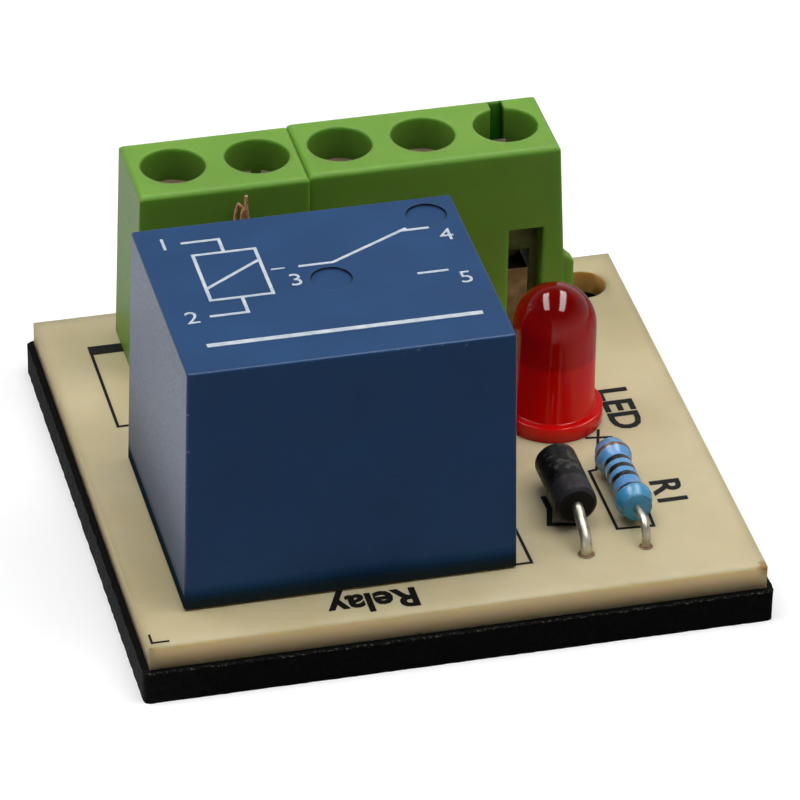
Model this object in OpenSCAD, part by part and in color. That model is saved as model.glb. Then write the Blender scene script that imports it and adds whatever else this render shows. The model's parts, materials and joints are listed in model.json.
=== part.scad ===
// Relay module board: a change-over relay, a two-pole and a three-pole screw terminal block,
// an indicator lamp, a diode and a resistor on a small circuit board that lies on a foam pad.
// Origin in the middle of the pad's underside, +X right, +Y back to the terminals, +Z up.

/* [Board] */
// Width of the circuit board, left to right
board_w = 36.1; // [35:0.1:40]
// Depth of the circuit board, front to back
board_d = 34.2; // [33:0.1:38]
// Thickness of the circuit board
board_t = 1.5; // [1:0.1:2]
// Thickness of the copper foil on the underside
foil_t = 0.05; // [0.03:0.01:0.1]
// Width of a copper track
track_w = 1.6; // [1:0.1:2]
// Diameter of the mounting hole
mount_d = 3; // [2.5:0.1:3.2]
// Mounting hole to the right edge of the board
mount_from_right = 2.55; // [2.4:0.05:3]
// Mounting hole to the back edge of the board
mount_from_back = 3.1; // [2.5:0.1:4]
// Height of a solder joint
solder_h = 1; // [0.6:0.1:1.1]
// Length of a lead below the foil
lead_tail = 1.2; // [1.1:0.1:1.4]

/* [Pad] */
// Thickness of the foam pad
pad_t = 2; // [1.9:0.1:4]
// How far the pad stands out past the board
pad_overhang = 0.4; // [0:0.1:1]
// Extra radius of the pad's hole around the mounting hole
pad_hole_room = 0.2; // [0.1:0.1:0.5]

/* [Relay] */
// Middle of the relay, left to right
relay_x = -5.7; // [-7:0.1:-5]
// Middle of the relay to the front edge of the board
relay_from_front = 10.9; // [9.2:0.1:11]
// Length of the relay cover at its foot
relay_l = 19.4; // [18.8:0.1:20.5]
// Width of the relay cover at its foot
relay_w = 15.8; // [15.2:0.1:16.5]
// Height of the relay above the board
relay_h = 15.8; // [15:0.05:18]
// How far each side of the cover leans in at the top
relay_lean = 0.3; // [0:0.05:0.4]
// Wall of the relay cover at its foot
cover_wall = 1.1; // [0.9:0.05:1.2]
// Rounding of the cover's edges
cover_round = 0.15; // [0.1:0.05:0.6]
// Gap between the cover's rim and the board
cover_lift = 0.15; // [0.02:0.01:0.25]
// Diameter of the round marks on the cover
mark_d = 2.4; // [1.5:0.1:3]
// Depth of the round marks on the cover
mark_depth = 0.12; // [0.05:0.01:0.3]

/* [Relay mechanism] */
// Thickness of the relay's base plate
base_t = 1.2; // [1:0.1:1.6]
// Height of the feet under the base plate
foot_h = 0.3; // [0.2:0.05:0.5]
// Thickness of the yoke's steel
yoke_t = 1; // [0.8:0.1:1.2]
// Width of the yoke
yoke_w = 7; // [5:0.1:8]
// Diameter of the bobbin's flanges
flange_d = 9.8; // [8:0.1:10]
// Thickness of the bobbin's flanges
flange_t = 0.8; // [0.6:0.1:1]
// Diameter of the bobbin's barrel
barrel_d = 4.6; // [4:0.1:5.5]
// Diameter of the winding
winding_d = 9; // [6.5:0.1:9.4]
// Diameter of the core
core_d = 3; // [2.4:0.1:3.4]
// Diameter of the core's pole face
pole_d = 6; // [4:0.1:7]
// Thickness of the core's pole face
pole_t = 0.5; // [0.4:0.1:0.8]
// Thickness of the armature
armature_t = 1; // [0.8:0.1:1.2]
// Width of the armature
armature_w = 8; // [5:0.1:9]
// Swing of the armature in degrees
armature_swing = 3; // [2:0.1:3.5]
// Thickness of the contact blade
blade_t = 0.2; // [0.15:0.05:0.3]
// Width of the contact blade
blade_w = 3.2; // [2.8:0.1:4]
// Length of the blade's tail beside the yoke
tail_l = 4.5; // [3:0.1:6]
// Diameter of the contact tips
tip_d = 2; // [1.5:0.1:2.2]
// Height of a contact tip
tip_h = 0.5; // [0.3:0.05:0.6]
// Thickness of the contact strips
strip_t = 0.5; // [0.4:0.05:0.6]
// Width of the contact strips
strip_w = 1.8; // [1.4:0.1:2.2]
// Width of a contact strip's pin
strip_pin_w = 1; // [0.8:0.1:1.2]
// Width of the yoke's pin
yoke_pin_w = 1.2; // [0.8:0.1:1.4]
// Side of the square coil pins
coil_pin = 0.6; // [0.5:0.05:0.7]

/* [Terminal blocks] */
// Middle of the row of poles, left to right
terminal_x = -0.2; // [-1:0.1:0.5]
// Back of the terminal blocks to the back edge of the board
terminal_from_back = 1.85; // [1:0.05:3]
// Spacing of the poles
pitch = 5.08; // [5:0.01:5.2]
// Depth of a terminal block, front to back
terminal_d = 6.15; // [6.1:0.05:7]
// Height of a terminal block above the board
terminal_h = 13.05; // [12:0.05:15]
// Extra thickness of the two outer end walls
end_out = 0.1; // [0:0.05:0.2]
// How far the left end wall leans out at its foot
left_lean = 0.35; // [0:0.05:0.7]
// How far the right end wall leans out at its foot
right_lean = 0.65; // [0:0.05:0.7]
// How far the three-pole block stands behind the two-pole one
block_step = 0.25; // [0:0.05:0.4]
// Chamfer along the top edges
top_chamfer = 0.2; // [0.1:0.05:0.4]
// Diameter of a screw hole at the top
screw_hole_d = 3.9; // [3.7:0.1:4.2]
// Screw axis to the back of the block
screw_from_back = 3; // [2.9:0.05:3.1]
// Diameter of a wire entry
wire_d = 2.9; // [2.4:0.1:3]
// Diameter of a wire entry at its mouth
wire_mouth_d = 3.6; // [3:0.1:4]
// Width of the inspection window
window_w = 2.15; // [1.6:0.05:2.2]
// Top of the inspection window above the board
window_top = 7.6; // [6:0.1:8]
// Middle of the inspection window to the right of its pole's middle
window_off = 0.6; // [0:0.05:0.7]
// How far the interlocking rib stands out
rib_out = 0.7; // [0.4:0.05:0.8]
// Width of the interlocking rib
rib_w = 0.8; // [0.5:0.05:0.85]
// Height of the interlocking rib above the board
rib_h = 5.3; // [4:0.1:8]
// Chamfer on top of the interlocking rib
rib_crown = 0.5; // [0.2:0.05:0.6]
// Width of the notch in the last screw hole
notch_w = 0.85; // [0.5:0.05:1.2]
// Depth of the notch in the last screw hole
notch_depth = 3.3; // [0.5:0.1:3.4]
// Wall left behind the notch
notch_wall = 0.2; // [0.1:0.05:0.4]

/* [Wire clamps] */
// Diameter of a screw head
head_d = 3.5; // [3:0.1:3.6]
// Height of a screw head
head_h = 2; // [1.2:0.05:2.2]
// Diameter of a screw's shank
shank_d = 2.4; // [2:0.1:2.5]
// Width of the driver slot
slot_w = 0.6; // [0.4:0.05:0.8]
// Depth of the driver slot
slot_depth = 0.7; // [0.4:0.05:0.9]
// Chamfer around a screw's head and tip
screw_chamfer = 0.2; // [0.1:0.05:0.3]
// Width of a cage
cage_w = 3.5; // [3.4:0.05:3.6]
// Depth of a cage, front to back
cage_d = 3.3; // [3:0.05:3.4]
// Wall of a cage
cage_wall = 0.5; // [0.4:0.05:0.55]
// Thickness of a cage's floor
cage_floor = 0.6; // [0.4:0.05:0.8]
// Thickness of a cage's threaded top
nut_t = 1.4; // [1:0.1:1.6]
// Travel of a cage
clamp_travel = 1.8; // [1:0.1:2]
// Free height for the wire in an open clamp
wire_room = 2.8; // [2.4:0.1:3]
// Thickness of a contact plate
plate_t = 0.6; // [0.4:0.05:0.7]
// Width of a contact plate
plate_w = 2; // [1.6:0.05:2.1]
// Width of a contact plate's pin
plate_pin_w = 1; // [0.8:0.1:1.2]

/* [Lamp] */
// Middle of the lamp, left to right
led_x = 10; // [9:0.1:11]
// Middle of the lamp to the front edge of the board
led_from_front = 17.65; // [17.1:0.05:19]
// Diameter of the lamp's lens
led_d = 5; // [4.8:0.1:5.2]
// Diameter of the lamp's flange
led_flange_d = 6; // [5.5:0.1:6.2]
// Height of the lamp's flange
led_flange_h = 1; // [0.8:0.1:1.2]
// Height of the lamp
led_h = 9; // [8:0.1:9.4]
// Spacing of the lamp's leads
led_pitch = 2.54; // [2.3:0.01:2.6]
// Side of the lamp's square leads
led_lead = 0.5; // [0.4:0.05:0.6]
// Height of the lead frame inside the lens
led_frame_h = 4; // [3:0.1:5]
// Height of the lead frame's wide heads
led_head_h = 1.1; // [0.8:0.1:1.5]
// Width of the head on the lamp's shorter post
led_anode_l = 0.9; // [0.7:0.05:1]
// Diameter of the reflector cup
led_cup_d = 1.8; // [1.4:0.1:2]
// Height of the reflector cup
led_cup_h = 0.6; // [0.5:0.05:0.8]
// Side of the lamp's die
die_w = 0.3; // [0.2:0.05:0.4]
// Thickness of the lamp's die
die_t = 0.18; // [0.1:0.02:0.3]

/* [Diode] */
// Middle of the diode, left to right
diode_x = 8.25; // [7:0.05:9]
// Diameter of the diode's body
diode_d = 2.5; // [2.2:0.1:2.8]
// Length of the diode's body
diode_l = 5; // [4.4:0.1:5.6]
// Chamfer around the ends of the diode's body
diode_chamfer = 0.25; // [0.1:0.05:0.4]
// Diameter of the diode's leads
diode_lead_d = 0.66; // [0.5:0.02:0.8]
// Height of the diode's axis above the board
diode_z = 1.8; // [1.6:0.1:2.4]
// Front end of the diode's body to its front lead
diode_front_run = 2.2; // [1.9:0.1:2.6]
// Slope of the diode's front lead in degrees
diode_slope = 25; // [5:1:27]

/* [Resistor] */
// Middle of the resistor, left to right
resistor_x = 11.8; // [11.3:0.05:13]
// Diameter of the resistor's end caps
cap_d = 2.2; // [1.9:0.1:2.5]
// Diameter of the resistor between its caps
resistor_d = 1.75; // [1.4:0.05:1.9]
// Length of the resistor's body
resistor_l = 6.1; // [5.4:0.1:6.8]
// Length of an end cap
cap_l = 1.7; // [1.2:0.1:2]
// Diameter of the resistor's leads
resistor_lead_d = 0.5; // [0.4:0.02:0.6]
// Height of the resistor's axis above the board
resistor_z = 1.35; // [1.25:0.05:2.4]
// Front end of the resistor's body to its front lead
resistor_front_run = 1.95; // [1.5:0.05:2.4]

/* [Axial leads] */
// Front leads of both axial parts to the front edge of the board
axial_from_front = 3.5; // [3.1:0.1:4]
// Straight run of a back lead between its body and its bend
back_run = 0.15; // [0.05:0.05:0.5]
// Inside radius of a bend in a lead
bend_r = 0.6; // [0.4:0.05:0.7]

/* [Fits] */
// Gap between pieces that slide into each other
slide_fit = 0.1; // [0.05:0.01:0.15]
// Gap between pieces that are set into each other
set_fit = 0.03; // [0.01:0.01:0.05]
// Gap between contacts that meet, and under a seated head
touch_gap = 0.04; // [0.02:0.01:0.06]
// Radial gap in a drilled hole around its lead
drill_room = 0.15; // [0.1:0.05:0.25]

/* [Hidden] */
$fn = 64;
POLES = 5;
FIRST_BLOCK = 2;
eps = 0.01;

// Levels of the sandwich
board_z = pad_t + foil_t;
top_z = board_z + board_t;
lead_end_z = pad_t - lead_tail;
pocket_room = 0.2;
pocket_depth = lead_tail + pocket_room;
front_y = -board_d / 2;
mount_x = board_w / 2 - mount_from_right;
mount_y = board_d / 2 - mount_from_back;

// Relay, measured from its middle and from the top of the board
relay_y = front_y + relay_from_front;
cavity_l = relay_l - 2 * cover_wall;
cavity_w = relay_w - 2 * cover_wall;
ceiling_z = relay_h - cover_wall;
skirt_step = 0.25;
base_z = foot_h + base_t;
base_l = cavity_l + 2 * skirt_step - 2 * set_fit;
base_w = cavity_w + 2 * skirt_step - 2 * set_fit;
tail_room = 0.9;
contact_room = 1.6;
side_room = 0.25;
pin_stand = 1.6;
hinge_x = -cavity_l / 2 + tail_room;
coil_x = hinge_x + yoke_t + slide_fit + flange_d / 2;
contact_x = cavity_l / 2 - tip_d / 2 - contact_room;
side_pin_y = cavity_w / 2 - strip_t - side_room;
arm_l = contact_x - hinge_x;
swing_lift = (arm_l + tip_d / 2) * sin(armature_swing);
upper_strip_z = ceiling_z - slide_fit - strip_t;
upper_tip_z = upper_strip_z - tip_h;
hinge_z = upper_tip_z - touch_gap - swing_lift - (armature_t + blade_t + tip_h) * cos(armature_swing);
pole_z = hinge_z - touch_gap;
flange_top_z = pole_z - pole_t;
coil_foot_z = base_z + yoke_t;
lower_tip_z = hinge_z + armature_t - tip_h - touch_gap;
lower_strip_z = lower_tip_z - tip_h - strip_t;
coil_pin_x = coil_x - flange_d / 2 + coil_pin;
coil_pin_top = coil_foot_z + flange_t + pin_stand;
// Places of the two round marks on the cover, from its middle
MARKS = [[0.65, 0.3], [7.5, 5.7]];

// Terminal blocks
row_l = POLES * pitch;
row_x = terminal_x - row_l / 2;
block_y = board_d / 2 - terminal_from_back - terminal_d;
cage_y = terminal_d - screw_from_back - cage_d / 2;
chamber_w = cage_w + 2 * slide_fit;
chamber_d = cage_d + 2 * slide_fit;
chamber_y = cage_y - slide_fit;
cage_z = 0.3;
shank_room = 0.25;
plate_side_room = 0.2;
nut_room = 0.9;
wire_z = cage_z + cage_floor;
plate_z = wire_z + wire_room;
nut_z = plate_z + plate_t + nut_room;
cage_top_z = nut_z + nut_t;
chamber_h = cage_top_z + clamp_travel + 2 * slide_fit;
ledge_t = 0.5;
seat_z = chamber_h + ledge_t;
head_z = seat_z + touch_gap;
plate_slot_w = plate_w + 2 * plate_side_room;
plate_y = chamber_y - plate_t;
groove_room = block_step + slide_fit;
rib_y = chamber_y - groove_room - rib_w / 2 - slide_fit;
rib_root = pitch / 4;
// End of a block that meets the other one
INNER_END = [0, 0];
shank_end_z = plate_z + plate_t + touch_gap;

// Lamp, diode and resistor
led_y = front_y + led_from_front;
led_cathode_l = led_pitch - led_anode_l - led_lead;
led_cup_x = led_x - led_pitch / 2 + led_cup_d / 2;
led_cup_z = top_z + led_frame_h;
cup_floor = 0.2;
cup_rim = 0.09;
cup_slope = 0.36;
axial_y = front_y + axial_from_front;
diode_front_y = axial_y + diode_front_run;
diode_back_y = diode_front_y + diode_l;
resistor_front_y = axial_y + resistor_front_run;
resistor_back_y = resistor_front_y + resistor_l;
function lead_turn(d) = bend_r + d / 2;

// Leads, as [x, y, width, depth], with depth 0 for a round one
function pole_x(i) = row_x + (i + 0.5) * pitch;
function pole_y(i) = block_y + (i < FIRST_BLOCK ? 0 : block_step);
YOKE_PIN = [relay_x + hinge_x + yoke_t / 2, relay_y, yoke_t, yoke_pin_w];
COIL_PINS = [for (s = [-1, 1]) [relay_x + coil_pin_x, relay_y + s * side_pin_y, coil_pin, coil_pin]];
STRIP_PINS = [for (s = [-1, 1]) [relay_x + contact_x, relay_y + s * side_pin_y, strip_pin_w, strip_t]];
POLE_PINS = [for (i = [0:POLES - 1])
    [pole_x(i), pole_y(i) + plate_y + plate_t / 2, plate_pin_w, plate_t]];
LED_PINS = [for (s = [-1, 1]) [led_x + s * led_pitch / 2, led_y, led_lead, led_lead]];
DIODE_PINS = [for (y = [axial_y, diode_back_y + lead_turn(diode_lead_d) + back_run])
    [diode_x, y, diode_lead_d, 0]];
RESISTOR_PINS = [for (y = [axial_y, resistor_back_y + lead_turn(resistor_lead_d) + back_run])
    [resistor_x, y, resistor_lead_d, 0]];
PINS = concat([YOKE_PIN], COIL_PINS, STRIP_PINS, POLE_PINS, LED_PINS, DIODE_PINS, RESISTOR_PINS);

function drill_d(p) = (p[3] == 0 ? p[2] : norm([p[2], p[3]])) + 2 * drill_room;
function place(p) = [p[0], p[1]];
joint_room = 0.4;
land_room = 0.55;

// Routes of the copper tracks, each a run of corners
front_run_y = axial_y - track_w;
left_run_x = relay_x - relay_l / 2 - track_w / 2;
back_run_y = block_y + terminal_d - track_w;
right_run_x = mount_x - mount_d / 2 - track_w;
lamp_run_y = led_y + led_flange_d / 2;
TRACKS = [
    [place(POLE_PINS[0]), [left_run_x, POLE_PINS[0][1]], [left_run_x, front_run_y],
        [RESISTOR_PINS[0][0], front_run_y], place(RESISTOR_PINS[0])],
    [[COIL_PINS[0][0], front_run_y], place(COIL_PINS[0])],
    [[DIODE_PINS[0][0], front_run_y], place(DIODE_PINS[0])],
    [place(COIL_PINS[1]), [COIL_PINS[1][0], relay_y + relay_w / 2 + track_w],
        [POLE_PINS[1][0], relay_y + relay_w / 2 + track_w], place(POLE_PINS[1]),
        [POLE_PINS[1][0], back_run_y], [right_run_x, back_run_y], [right_run_x, lamp_run_y],
        [LED_PINS[0][0], lamp_run_y], place(LED_PINS[0]), place(DIODE_PINS[1])],
    [place(LED_PINS[1]), place(RESISTOR_PINS[1])],
    [place(STRIP_PINS[1]), place(POLE_PINS[2])],
    [place(YOKE_PIN), [POLE_PINS[3][0] - 2 * track_w, relay_y],
        [POLE_PINS[3][0] - 2 * track_w, POLE_PINS[3][1] - track_w], place(POLE_PINS[3])],
    [place(STRIP_PINS[0]), [POLE_PINS[3][0] + track_w / 2, STRIP_PINS[0][1]],
        [POLE_PINS[3][0] + track_w / 2, lamp_run_y + track_w], place(POLE_PINS[4])]
];

// Section of one lead, grown by a gap
module lead_section(p, gap = 0) {
    translate([p[0], p[1]])
        if (p[3] == 0)
            circle(d = p[2] + 2 * gap);
        else
            square([p[2] + 2 * gap, p[3] + 2 * gap], center = true);
}

// Drilled hole of every lead
module drill_holes() {
    for (p = PINS)
        translate([p[0], p[1]])
            circle(d = drill_d(p));
}

// Straight lead of a part, from the end of its tail up to a height above the board
module lead_post(p, height) {
    translate([0, 0, lead_end_z])
        linear_extrude(top_z + height - lead_end_z)
            lead_section(p);
}

// Bar between two points in a plane, with round ends
module bar(a, b, w) {
    translate(a)
        rotate(atan2(b[1] - a[1], b[0] - a[0]))
            translate([0, -w / 2])
                square([norm(b - a), w]);
    for (c = [a, b])
        translate(c)
            circle(d = w);
}

module foam_pad() {
    color("#1b1a19")
        difference() {
            translate([-board_w / 2 - pad_overhang, -board_d / 2 - pad_overhang, 0])
                cube([board_w + 2 * pad_overhang, board_d + 2 * pad_overhang, pad_t]);
            for (p = PINS)
                translate([p[0], p[1], pad_t - pocket_depth])
                    cylinder(d = drill_d(p) + 2 * (joint_room + pocket_room), h = pocket_depth + eps);
            translate([mount_x, mount_y, -eps])
                cylinder(d = mount_d + 2 * pad_hole_room, h = pad_t + 2 * eps);
        }
}

module circuit_board() {
    color("#cdbf98")
        translate([0, 0, board_z])
            difference() {
                translate([-board_w / 2, -board_d / 2, 0])
                    cube([board_w, board_d, board_t]);
                translate([mount_x, mount_y, -eps])
                    cylinder(d = mount_d, h = board_t + 2 * eps);
                translate([0, 0, -eps])
                    linear_extrude(board_t + 2 * eps)
                        drill_holes();
            }
}

module copper_tracks() {
    color("#b8733d")
        translate([0, 0, pad_t])
            linear_extrude(foil_t)
                difference() {
                    union() {
                        for (p = PINS)
                            translate([p[0], p[1]])
                                circle(d = drill_d(p) + 2 * land_room);
                        for (run = TRACKS, i = [1:len(run) - 1])
                            bar(run[i - 1], run[i], track_w);
                    }
                    drill_holes();
                }
}

module solder_joints() {
    color("#a9abad")
        for (p = PINS)
            difference() {
                translate([p[0], p[1], pad_t - solder_h])
                    cylinder(d1 = drill_d(p), d2 = drill_d(p) + 2 * joint_room, h = solder_h);
                translate([0, 0, pad_t - solder_h - eps])
                    linear_extrude(solder_h + 2 * eps)
                        lead_section(p, set_fit);
            }
}

// Places a piece of the relay from the relay's middle and the top of the board
module in_relay() {
    translate([relay_x, relay_y, top_z])
        children();
}

// Outer form of the cover: upright corners at its foot, rounded corners at its top
module cover_form() {
    corner_x = relay_l / 2 - cover_round;
    corner_y = relay_w / 2 - cover_round;
    hull() {
        for (sx = [-1, 1], sy = [-1, 1]) {
            translate([sx * corner_x, sy * corner_y, cover_lift])
                cylinder(r = cover_round, h = eps, $fn = 32);
            translate([sx * (corner_x - relay_lean), sy * (corner_y - relay_lean), relay_h - cover_round])
                sphere(r = cover_round, $fn = 32);
        }
    }
}

module relay_cover() {
    color("#27477a")
        in_relay()
            difference() {
                cover_form();
                translate([-cavity_l / 2, -cavity_w / 2, 0])
                    cube([cavity_l, cavity_w, ceiling_z]);
                translate([-cavity_l / 2 - skirt_step, -cavity_w / 2 - skirt_step, 0])
                    cube([cavity_l + 2 * skirt_step, cavity_w + 2 * skirt_step, base_z]);
                for (m = MARKS)
                    translate([m[0], m[1], relay_h - mark_depth])
                        cylinder(d = mark_d, h = mark_depth + eps);
            }
}

module relay_base() {
    foot_d = 1.4;
    color("#20242c")
        difference() {
            in_relay() {
                translate([-base_l / 2, -base_w / 2, foot_h])
                    cube([base_l, base_w, base_t]);
                for (sx = [-1, 1], sy = [-1, 1])
                    translate([sx * (base_l / 2 - foot_d), sy * (base_w / 2 - 3 * foot_d), 0])
                        cylinder(d = foot_d, h = foot_h + eps);
            }
            for (p = concat([YOKE_PIN], COIL_PINS, STRIP_PINS))
                translate([0, 0, top_z])
                    linear_extrude(base_z + eps)
                        lead_section(p, set_fit);
        }
}

module coil_bobbin() {
    ear_w = 2 * side_pin_y + 2 * coil_pin;
    color("#1d1d1f")
        difference() {
            in_relay()
                translate([coil_x, 0, coil_foot_z])
                    difference() {
                        union() {
                            cylinder(d = flange_d, h = flange_t);
                            translate([-flange_d / 2, -ear_w / 2, 0])
                                cube([3 * coil_pin, ear_w, flange_t]);
                            cylinder(d = barrel_d, h = flange_top_z - coil_foot_z);
                            translate([0, 0, flange_top_z - coil_foot_z - flange_t])
                                cylinder(d = flange_d, h = flange_t);
                        }
                        translate([0, 0, -eps])
                            cylinder(d = core_d + 2 * set_fit, h = relay_h);
                    }
            for (p = COIL_PINS)
                translate([0, 0, top_z])
                    linear_extrude(relay_h)
                        lead_section(p, set_fit);
        }
}

module coil_winding() {
    winding_z = coil_foot_z + flange_t + set_fit;
    winding_h = flange_top_z - flange_t - set_fit - winding_z;
    color("#a2522a")
        in_relay()
            translate([coil_x, 0, winding_z])
                difference() {
                    cylinder(d = winding_d, h = winding_h);
                    translate([0, 0, -eps])
                        cylinder(d = barrel_d + 2 * set_fit, h = winding_h + 2 * eps);
                }
}

module coil_core() {
    color("#8d9094")
        in_relay()
            translate([coil_x, 0, base_z]) {
                cylinder(d = core_d, h = pole_z - base_z);
                translate([0, 0, flange_top_z - base_z])
                    cylinder(d = pole_d, h = pole_t);
            }
}

module relay_yoke() {
    color("#7f8286") {
        in_relay()
            difference() {
                union() {
                    translate([hinge_x, -yoke_w / 2, base_z])
                        cube([yoke_t, yoke_w, pole_z - base_z]);
                    translate([hinge_x, -yoke_w / 2, base_z])
                        cube([coil_x + core_d - hinge_x, yoke_w, yoke_t]);
                }
                translate([coil_x, 0, base_z - eps])
                    cylinder(d = core_d + 2 * set_fit, h = yoke_t + 2 * eps);
            }
        lead_post(YOKE_PIN, base_z + eps);
    }
}

// Places a piece that rides on the armature, lifted off the core
module on_armature() {
    in_relay()
        translate([hinge_x, 0, hinge_z])
            rotate([0, -armature_swing, 0])
                children();
}

module relay_armature() {
    past_pole = 1;
    armature_l = coil_x + pole_d / 2 - hinge_x + past_pole;
    color("#84878b")
        on_armature()
            translate([0, -armature_w / 2, 0])
                cube([armature_l, armature_w, armature_t]);
}

module contact_blade() {
    past_tip = 0.5;
    blade_l = arm_l + tip_d / 2 + past_tip;
    color("#b98a4e") {
        on_armature()
            difference() {
                translate([-touch_gap - blade_t, -blade_w / 2, armature_t])
                    cube([touch_gap + blade_t + blade_l, blade_w, blade_t]);
                translate([arm_l, 0, armature_t - eps])
                    cylinder(d = tip_d + 2 * set_fit, h = blade_t + 2 * eps);
            }
        in_relay()
            translate([hinge_x - touch_gap - blade_t, -blade_w / 2, hinge_z - tail_l])
                cube([blade_t, blade_w, tail_l + armature_t + blade_t / 2]);
    }
}

module moving_contact() {
    color("#c9ccd0")
        on_armature()
            translate([arm_l, 0, armature_t - tip_h])
                cylinder(d = tip_d, h = 2 * tip_h + blade_t);
}

// Contact strip that stands on the base at one side and reaches over the middle
module contact_strip(pin, side, shelf_z) {
    past_tip = 0.2;
    reach = side_pin_y + strip_t / 2 + tip_d / 2 + past_tip;
    lead_post(pin, base_z + eps);
    in_relay()
        translate([contact_x - strip_w / 2, 0, 0])
            mirror([0, side < 0 ? 1 : 0, 0]) {
                translate([0, side_pin_y - strip_t / 2, base_z])
                    cube([strip_w, strip_t, shelf_z + strip_t - base_z]);
                translate([0, side_pin_y + strip_t / 2 - reach, shelf_z])
                    cube([strip_w, reach, strip_t]);
            }
}

module open_contact_strip() {
    color("#b98a4e")
        contact_strip(STRIP_PINS[0], -1, lower_strip_z);
}

module closed_contact_strip() {
    color("#b98a4e")
        contact_strip(STRIP_PINS[1], 1, upper_strip_z);
}

module open_contact_tip() {
    color("#c9ccd0")
        in_relay()
            translate([contact_x, 0, lower_tip_z - tip_h])
                cylinder(d = tip_d, h = tip_h);
}

module closed_contact_tip() {
    color("#c9ccd0")
        in_relay()
            translate([contact_x, 0, upper_tip_z])
                cylinder(d = tip_d, h = tip_h);
}

module coil_post(i) {
    color("#b4b6b9")
        lead_post(COIL_PINS[i], coil_pin_top);
}

// Housing wall outline seen from the front: each end, as [extra, lean], stands out by its extra
// thickness and leans out further at the foot
module housing_front(length, left, right) {
    c = top_chamfer;
    h = terminal_h;
    x1 = -left[0];
    x2 = length + right[0];
    polygon([[x1 - left[1], 0], [x2 + right[1], 0], [x2, h - c], [x2 - c, h], [x1 + c, h], [x1, h - c]]);
}

// Housing wall outline seen from the end
module housing_end() {
    c = top_chamfer;
    d = terminal_d;
    h = terminal_h;
    polygon([[0, 0], [d, 0], [d, h - c], [d - c, h], [c, h], [0, h - c]]);
}

// Hollow of one pole: clamp chamber, contact slot, screw well, wire entry and window
module pole_hollow() {
    axis_y = terminal_d - screw_from_back;
    translate([-chamber_w / 2, chamber_y, -eps])
        cube([chamber_w, chamber_d, chamber_h + eps]);
    translate([-plate_slot_w / 2, plate_y - slide_fit, -eps])
        cube([plate_slot_w, plate_t + slide_fit + eps, plate_z + plate_t + slide_fit + eps]);
    translate([0, axis_y, 0]) {
        cylinder(d = shank_d + 2 * shank_room, h = terminal_h);
        translate([0, 0, seat_z])
            cylinder(d = screw_hole_d, h = terminal_h);
    }
    translate([0, chamber_y + chamber_d - eps, wire_z + wire_room / 2])
        rotate([-90, 0, 0])
            cylinder(d = wire_d, h = terminal_d);
    mouth_l = (terminal_d - chamber_y - chamber_d) / 2;
    translate([0, terminal_d - mouth_l, wire_z + wire_room / 2])
        rotate([-90, 0, 0])
            cylinder(d1 = wire_d, d2 = wire_mouth_d, h = mouth_l + eps);
    translate([window_off - window_w / 2, -eps, -eps])
        cube([window_w, chamber_y + 2 * eps, window_top + eps]);
}

// Terminal block with its rib on the right end and the matching groove on the left end
module housing(first, count, left, right) {
    length = count * pitch;
    rib_end = rib_root + rib_out + right[0] + right[1] / 2;
    translate([row_x + first * pitch, pole_y(first), top_z])
        difference() {
            union() {
                intersection() {
                    translate([0, terminal_d, 0])
                        rotate([90, 0, 0])
                            linear_extrude(terminal_d)
                                housing_front(length - slide_fit / 2, left, right);
                    translate([-pitch, 0, 0])
                        rotate([90, 0, 90])
                            linear_extrude(length + 2 * pitch)
                                housing_end();
                }
                translate([length - rib_root, rib_y + rib_w / 2, 0])
                    rotate([90, 0, 0])
                        linear_extrude(rib_w)
                            polygon([[0, 0], [rib_end, 0], [rib_end, rib_h - rib_crown],
                                [rib_end - rib_crown, rib_h], [0, rib_h]]);
            }
            for (i = [0:count - 1])
                translate([(i + 0.5) * pitch, 0, 0])
                    pole_hollow();
            translate([-pitch, rib_y - rib_w / 2 - groove_room, -eps])
                cube([pitch + rib_out + slide_fit, rib_w + 2 * groove_room, rib_h + slide_fit]);
        }
}

module two_pole_housing() {
    color("#6f9a43")
        housing(0, FIRST_BLOCK, [end_out, left_lean], INNER_END);
}

module three_pole_housing() {
    color("#6f9a43")
        difference() {
            housing(FIRST_BLOCK, POLES - FIRST_BLOCK, INNER_END, [end_out, right_lean]);
            in_pole(POLES - 1)
                translate([-notch_w / 2, terminal_d - screw_from_back, terminal_h - notch_depth])
                    cube([notch_w, screw_from_back - notch_wall, notch_depth + eps]);
        }
}

// Places a piece of one clamp from the front of its block and the top of the board
module in_pole(i) {
    translate([pole_x(i), pole_y(i), top_z])
        children();
}

// Half outline of a screw, from its tip up to its head
module screw_outline() {
    c = screw_chamfer;
    top = head_z + head_h;
    polygon([[0, shank_end_z], [shank_d / 2 - c, shank_end_z], [shank_d / 2, shank_end_z + c],
        [shank_d / 2, head_z], [head_d / 2, head_z], [head_d / 2, top - c], [head_d / 2 - c, top], [0, top]]);
}

module clamp_screw(i) {
    slot_turn = [35, 80, 10, 120, 60];
    color("#8a7a68")
        in_pole(i)
            translate([0, terminal_d - screw_from_back, 0])
                difference() {
                    rotate_extrude()
                        screw_outline();
                    translate([0, 0, head_z + head_h])
                        rotate(slot_turn[i])
                            cube([2 * head_d, slot_w, 2 * slot_depth], center = true);
                }
}

module clamp_cage(i) {
    color("#9b9285")
        in_pole(i)
            difference() {
                translate([-cage_w / 2, cage_y, cage_z])
                    cube([cage_w, cage_d, cage_top_z - cage_z]);
                translate([-cage_w / 2 + cage_wall, cage_y - eps, wire_z])
                    cube([cage_w - 2 * cage_wall, cage_d + 2 * eps, nut_z - wire_z]);
                translate([0, terminal_d - screw_from_back, nut_z - eps])
                    cylinder(d = shank_d + slide_fit, h = nut_t + 2 * eps);
            }
}

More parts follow.
